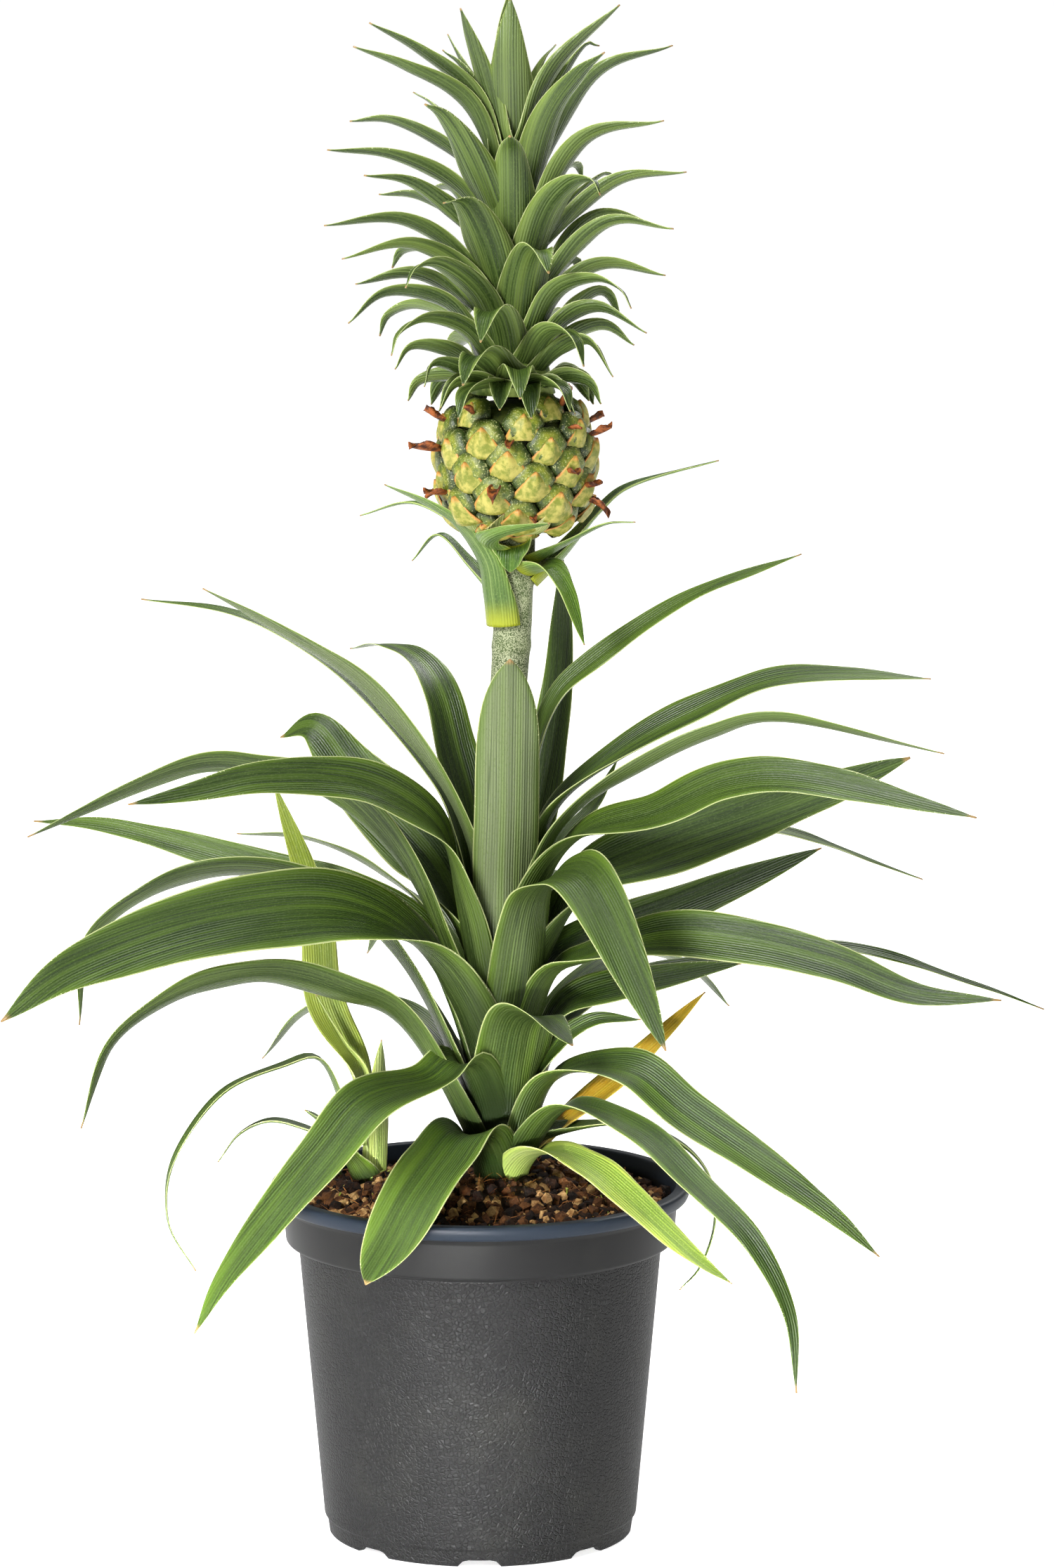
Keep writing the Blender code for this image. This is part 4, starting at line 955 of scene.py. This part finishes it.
def bract_mesh():
    """A shield under an eye: wide at its foot, its wavy sides drawn up to a dry point."""
    verts, rims = [], []
    rows, lanes = 9, 10
    for row in range(rows + 1):
        t = row / rows
        half = 5.9 * MM * (1.0 - t ** 1.3) ** 0.85 + 0.12 * MM
        for lane in range(lanes + 1):
            a = 2.0 * lane / lanes - 1.0
            x = (-5.9 + 8.2 * t + 0.9 * (1.0 - t) * a * a) * MM
            y = half * a
            z = (1.5 + 2.1 * math.sin(2.2 * t) - 2.2 * a * a * (1.0 - 0.6 * t) - 0.5 * abs(a) ** 0.7
                 + 0.4 * math.sin(6.0 * a + 4.0 * t) * abs(a)) * MM
            verts.append((x, y, z))
            rims.append(max(abs(a) ** 3.0, t ** 2.4))
    mesh = new_mesh("bract", verts, weave(rows + 1, lanes + 1))
    mark_points(mesh, "rim", rims)
    return thickened(mesh, 0.32 * MM)


def thickened(mesh, thickness):
    """The mesh with a wall, as a plain smooth mesh."""
    obj = add_object("sheet", mesh)
    wall = obj.modifiers.new("wall", "SOLIDIFY")
    wall.thickness = thickness
    wall.offset = 0.0
    solid = baked(obj)
    bpy.data.objects.remove(obj)
    solid.shade_smooth()
    return solid


def petal_mesh(length, droop, seed):
    """A dried flower's tongue: curled across and bent along, from the origin along +X."""
    luck = random.Random(seed)
    verts = []
    rows, lanes = 10, 6
    for row in range(rows + 1):
        t = row / rows
        half = 0.5 * length * 0.34 * (0.55 + math.sin(2.6 * t)) * (1.0 - 0.75 * t ** 3)
        bend = droop * t * t
        for lane in range(lanes + 1):
            a = 2.0 * lane / lanes - 1.0
            curl = 1.5 * a
            ripple = 0.12 * length * math.sin(6.0 * t + 2.0 * a + seed) * abs(a)
            trough = half * (1.0 - math.cos(curl)) * luck.uniform(0.85, 1.15)
            verts.append((length * t * math.cos(0.6 * bend), half * math.sin(curl) + 0.3 * ripple,
                          length * 0.5 * bend + trough + ripple * t))
    return thickened(new_mesh("petal", verts, weave(rows + 1, lanes + 1)), 0.3 * MM)


def build_fruit():
    bm = bmesh.new()
    bmesh.ops.create_uvsphere(bm, u_segments=72, v_segments=40, radius=1.0)
    for vert in bm.verts:
        level = max(-1.0, min(1.0, vert.co.z))
        azimuth = math.atan2(vert.co.y, vert.co.x)
        vert.co = barrel(math.copysign(abs(level) ** 0.85, level), azimuth, -0.9 * MM)[0]
    mesh = mesh_of(bm, "fruit_flesh")
    mesh.shade_smooth()
    # the barrel between the eyes: dark green, painted shade of the crevices between fruitlets
    mesh.materials.append(plain_finish("seam", (26, 36, 8), (60, 70, 18), 500.0, 0.6))
    fruit = add_object("pineapple_fruit", mesh)
    eyes, bracts = [], []
    for index in range(EYES):
        level = 1.0 - 2.0 * (index + 0.5) / EYES
        azimuth = index * GOLDEN_ANGLE + 0.6
        point, out = barrel(level, azimuth)
        upward = Vector((0.0, 0.0, 1.0)) - out * out.z
        if upward.length < 0.2:
            upward = Vector((-math.cos(azimuth), -math.sin(azimuth), 0.0))
        size = 0.86 + 0.22 * (1.0 - abs(level)) ** 0.7
        eyes.append((point, out, upward.normalized(), size))
        bracts.append((point + 0.25 * MM * out, out, upward.normalized(), size))
    scatter(fruit, eyes, eye_mesh(), eye_finish(), 0.95, 1.05, 4)
    scatter(fruit, bracts, bract_mesh(), bract_finish(), 0.92, 1.1, 6)
    dried = plain_finish("dried_flower", (58, 26, 10), (150, 82, 36), 500.0, 0.6, 0.4)
    for number, (azimuth, height, length, droop) in enumerate(PETALS):
        azimuth = math.radians(azimuth)
        point, out = barrel(height * MM / FRUIT_HALF, azimuth, 1.2 * MM)
        facing = Vector((-0.4 * out.x, -0.4 * out.y, 1.0))
        scatter(fruit, [(point, facing - out * facing.dot(out), out, 1.0)],
                petal_mesh(length * MM, droop, number), dried, 1.0, 1.0, number)
    collar = Sprout()
    for index in range(9):
        azimuth = math.radians(40.0 * index + chance.uniform(-10.0, 10.0))
        route = [(FRUIT_MIDDLE.x + reach * MM * math.cos(azimuth + 0.02 * reach),
                  reach * MM * math.sin(azimuth + 0.02 * reach),
                  FRUIT_LOW.z + (lift + chance.uniform(-0.6, 0.6)) * MM)
                 for reach, lift in ((5, 0.4), (11, 0.6), (17, 3.0), (21, 7.5))]
        collar.add(route, azimuth, 12.0 * MM, 0, 16, 8, 9.0 * MM, 9.0 * MM, 3.0, 0.8 * MM, 0.6 * MM,
                   0.8, 0.0, 9.0)
    leafy = collar.mesh("collar")
    leafy.materials.append(leaf_finish("collar_bract", (118, 136, 52), (164, 176, 84), (196, 190, 112),
                                       (132, 146, 70), (190, 192, 130), (206, 176, 120),
                                       (120, 140, 60), 0.1))
    join(fruit, add_object("collar", leafy))
    settle(fruit, "fruit")


def join(first, second):
    """Join the second object's mesh to the first."""
    with bpy.context.temp_override(active_object=first, selected_editable_objects=[first, second]):
        bpy.ops.object.join()


# ---- leaves ----
def tooth_mesh():
    bm = bmesh.new()
    bmesh.ops.create_cone(bm, cap_ends=True, segments=4, radius1=0.16 * MM, radius2=0.02 * MM,
                          depth=0.55 * MM)
    return mesh_of(bm, "tooth")


def station_place(centre, angle, reach, height):
    """The spot reach millimetres out from an axis at an angle, at a height in metres."""
    return (centre[0] + reach * MM * math.cos(angle), centre[1] + reach * MM * math.sin(angle), height)


def build_leaves(rows, foot, finish, tooth, rim, clasp_radius, sheath, foot_width, detail,
                 opening=0.4):
    """foot gives the stem's axis at a height; sheath is how far below the foot a leaf begins."""
    for name, azimuth, turn, width, twist, route in rows:
        centre = foot(route[0][1] * MM)
        longest = max(reach for reach, height in route)
        stations = list(route)
        if sheath:
            stations.insert(0, (min(route[0][0], 7.2), max(route[0][1] - sheath, -3.0)))
        placed = []
        for reach, height in stations:
            angle = math.radians(azimuth + turn * (reach / longest) ** 2)
            placed.append(station_place(centre, angle, reach, GROUND + height * MM))
        lead = float(np.linalg.norm(np.subtract(placed[1], placed[0]))) if sheath else 0.0
        sprout = Sprout()
        width = max(1.06 * width, 5.5)
        ripple = 0.022 * width * MM * chance.uniform(0.6, 1.3)
        sprout.add(placed, math.radians(azimuth), width * MM, twist, detail, 14, clasp_radius,
                   foot_width(width) * MM, BLUNT.get(name, 2.6), ripple, BLADE, LIGHT_AND_AGE_TONES.get(name, 0.5),
                   lead, TOOTH_GAP, opening)
        mesh = sprout.mesh(name + "_blade")
        mesh.materials.append(finish)
        blade = add_object(name + "_blade", mesh)
        scatter(blade, sprout.teeth, tooth, rim, 0.6, 1.1, len(name))
        settle(blade, name)


def build_crown(finish, tooth, rim):
    sprout = Sprout()
    rows = list(CROWN_LEAVES)
    for azimuth, width, route in CROWN_LEAVES:
        if width >= 8 and azimuth > 200:
            rows.append((360 - azimuth + 9, width, route))
    for index in range(CROWN_BASE_LEAVES):
        reach, drop = 17.5 + 4.0 * (index % 3), 1.0 * (index % 2)
        rows.append((21.2 * index + 6.0, 9, ((7.5, 0.5), (13.0, 3.6 - drop), (reach, 2.6 - drop),
                                              (reach + 4.0, -3.0 - 2.0 * drop))))
    for azimuth, width, route in rows:
        angle = math.radians(azimuth)
        placed = [station_place((CROWN_X, 0.0), angle, reach, CROWN_LOW.z + height * MM)
                  for reach, height in route]
        broad = max(1.28 * width, 10.5)
        # each crown leaf's tone follows the height of its tip: the lower leaves darker, the upper ones
        # lighter
        fresh = 0.12 + 0.65 * route[-1][1] / 100.0
        sprout.add(placed, angle, broad * MM, -34.0 * math.cos(angle), 30, 8, 9.0 * MM, 1.15 * broad * MM,
                   2.0, 0.02 * width * MM, BLADE, fresh, 0.0, CROWN_TOOTH_GAP, 0.4, 50.0)
    mesh = sprout.mesh("crown_leaves")
    mesh.materials.append(finish)
    crown = add_object("crown_rosette", mesh)
    scatter(crown, sprout.teeth, tooth, rim, 0.6, 1.1, 8)
    core_height = 84.0 * MM
    outline = [(0.0, core_height), (2.0 * MM, core_height - 2.0 * MM), (5.0 * MM, 0.55 * core_height),
               (8.1 * MM, 0.2 * core_height), (11.0 * MM, 3.0 * MM), (12.0 * MM, -0.4 * MM), (0.0, -0.4 * MM)]
    core = lathe("crown_core", outline, 32)
    core.transform(Matrix.Translation((CROWN_X, 0.0, CROWN_LOW.z)))
    core.shade_smooth()
    core.materials.append(plain_finish("crown_heart", (86, 110, 40), (150, 168, 84), 300.0, 0.6))
    join(crown, add_object("crown_core", core))
    settle(crown, "crown")


# ---- stage ----
def area_light(name, place, target, size, power, spread=180.0):
    light = bpy.data.lights.new(name, "AREA")
    light.shape = "RECTANGLE"
    light.size, light.size_y = size
    light.energy = power
    light.spread = math.radians(spread)
    obj = add_object(name, light)
    obj.location = place
    obj.rotation_euler = (Vector(target) - Vector(place)).to_track_quat("-Z", "Y").to_euler()


def build_stage():
    bm = bmesh.new()
    bmesh.ops.create_grid(bm, x_segments=1, y_segments=1, size=30.0)
    floor = add_object("floor", mesh_of(bm, "floor"))
    f = Finish("pale_floor", specular=0.2)
    floor.data.materials.append(f.coat((0.8, 0.8, 0.8, 1.0), 0.9))
    f.shader.inputs["Emission Color"].default_value = (1.0, 1.0, 1.0, 1.0)
    f.shader.inputs["Emission Strength"].default_value = 0.74

    world = bpy.data.worlds.new("studio")
    bpy.context.scene.world = world
    world.use_nodes = True
    sky = world.node_tree.nodes["Background"]
    sky.inputs["Color"].default_value = (1.0, 0.99, 0.96, 1.0)
    sky.inputs["Strength"].default_value = 0.34
    area_light("key", (-1.1, -1.4, 1.3), (0.0, 0.0, 0.24), (0.6, 0.6), 62.0)
    area_light("low", (-0.28, -1.08, 0.05), (-0.012, 0.0, 0.035), (0.16, 0.12), 0.52, 12.0)
    area_light("rear", (0.7, 1.4, 1.5), (0.0, 0.0, 0.25), (1.0, 1.0), 24.0)
    area_light("top", (0.0, 0.1, 2.2), (0.0, 0.0, 0.2), (1.0, 1.0), 24.0)


def build_camera():
    lens = bpy.data.cameras.new("camera")
    lens.lens = 164.6
    lens.sensor_width = 36.0
    camera = add_object("camera", lens)
    camera.location = (0.01339, -2.0, 0.5436)
    downward = 9.29
    camera.rotation_euler = (math.radians(90.0 - downward), 0.0, 0.0)
    bpy.context.scene.camera = camera


def main():
    bpy.context.scene.view_settings.view_transform = "Standard"
    build_stage()
    build_camera()
    build_pot()
    # the peat bed under the crumbs is near black: partly the peat's own colour, partly painted shade of the
    # gaps between crumbs
    build_soil(soil_finish("peat_bed", (8, 5, 4), (48, 30, 18), 600.0))
    build_stem()

    # leaf_blade's foot colour, the last, is painted shade of the rosette's heart
    # leaf_blade's underside colours, the fourth and fifth, are darkened into painted shade; so are
    # crown_leaf_blade's below
    green = leaf_finish("leaf_blade", (30, 47, 12), (62, 84, 24), (86, 112, 28),
                        (48, 64, 24), (86, 104, 52), (180, 188, 128), (28, 40, 13), 0.2)
    young = leaf_finish("young_leaf_blade", (86, 110, 34), (128, 150, 54), (158, 172, 66),
                        (120, 138, 66), (164, 174, 110), (190, 198, 132), (128, 146, 70))
    stalky = leaf_finish("stalk_leaf_blade", (38, 66, 16), (72, 106, 30), (106, 138, 44),
                         (74, 102, 40), (122, 144, 80), (170, 180, 112), (150, 158, 36), 0.15)
    crest = leaf_finish("crown_leaf_blade", (34, 52, 14), (74, 98, 34), (122, 142, 66),
                        (46, 64, 22), (92, 112, 54), (184, 192, 134), (62, 82, 30), 0.2)
    yellowed = leaf_finish("yellowed_leaf_blade", (160, 124, 20), (190, 156, 40), (176, 160, 50),
                           (160, 136, 50), (190, 170, 90), (200, 176, 96), (130, 136, 60))
    rim = plain_finish("leaf_tooth", (196, 204, 150), (226, 228, 190), 500.0, 0.5)
    tooth = tooth_mesh()

    old = [row for row in ROSETTE if row[0] == "leaf_right_12"]
    fresh = [row for row in ROSETTE if row[0] == "leaf_front_2"]
    rest = [row for row in ROSETTE if row not in old + fresh]
    for rows, finish in ((old, yellowed), (fresh, young), (rest, green)):
        build_leaves(rows, lambda height: (STEM_X, 0.0), finish, tooth, rim,
                     STEM_RADIUS + 1.4 * MM, SHEATH, lambda width: max(1.12 * width, 16.0), 84)
    for rows, finish in ((SIDE_SHOOT[:3], green), (SIDE_SHOOT[3:], young)):
        build_leaves(rows, lambda height: SHOOT_OFFSET, finish, tooth, rim,
                     6.0 * MM, 0.0, lambda width: 1.05 * width, 60)
    build_leaves(STALK_LEAVES, lambda height: (stalk_axis(height), 0.0), stalky,
                 tooth, rim, 6.1 * MM, 0.0, lambda width: max(1.9 * width, 11.0), 60, 0.7)
    build_fruit()
    build_crown(crest, tooth, rim)


main()
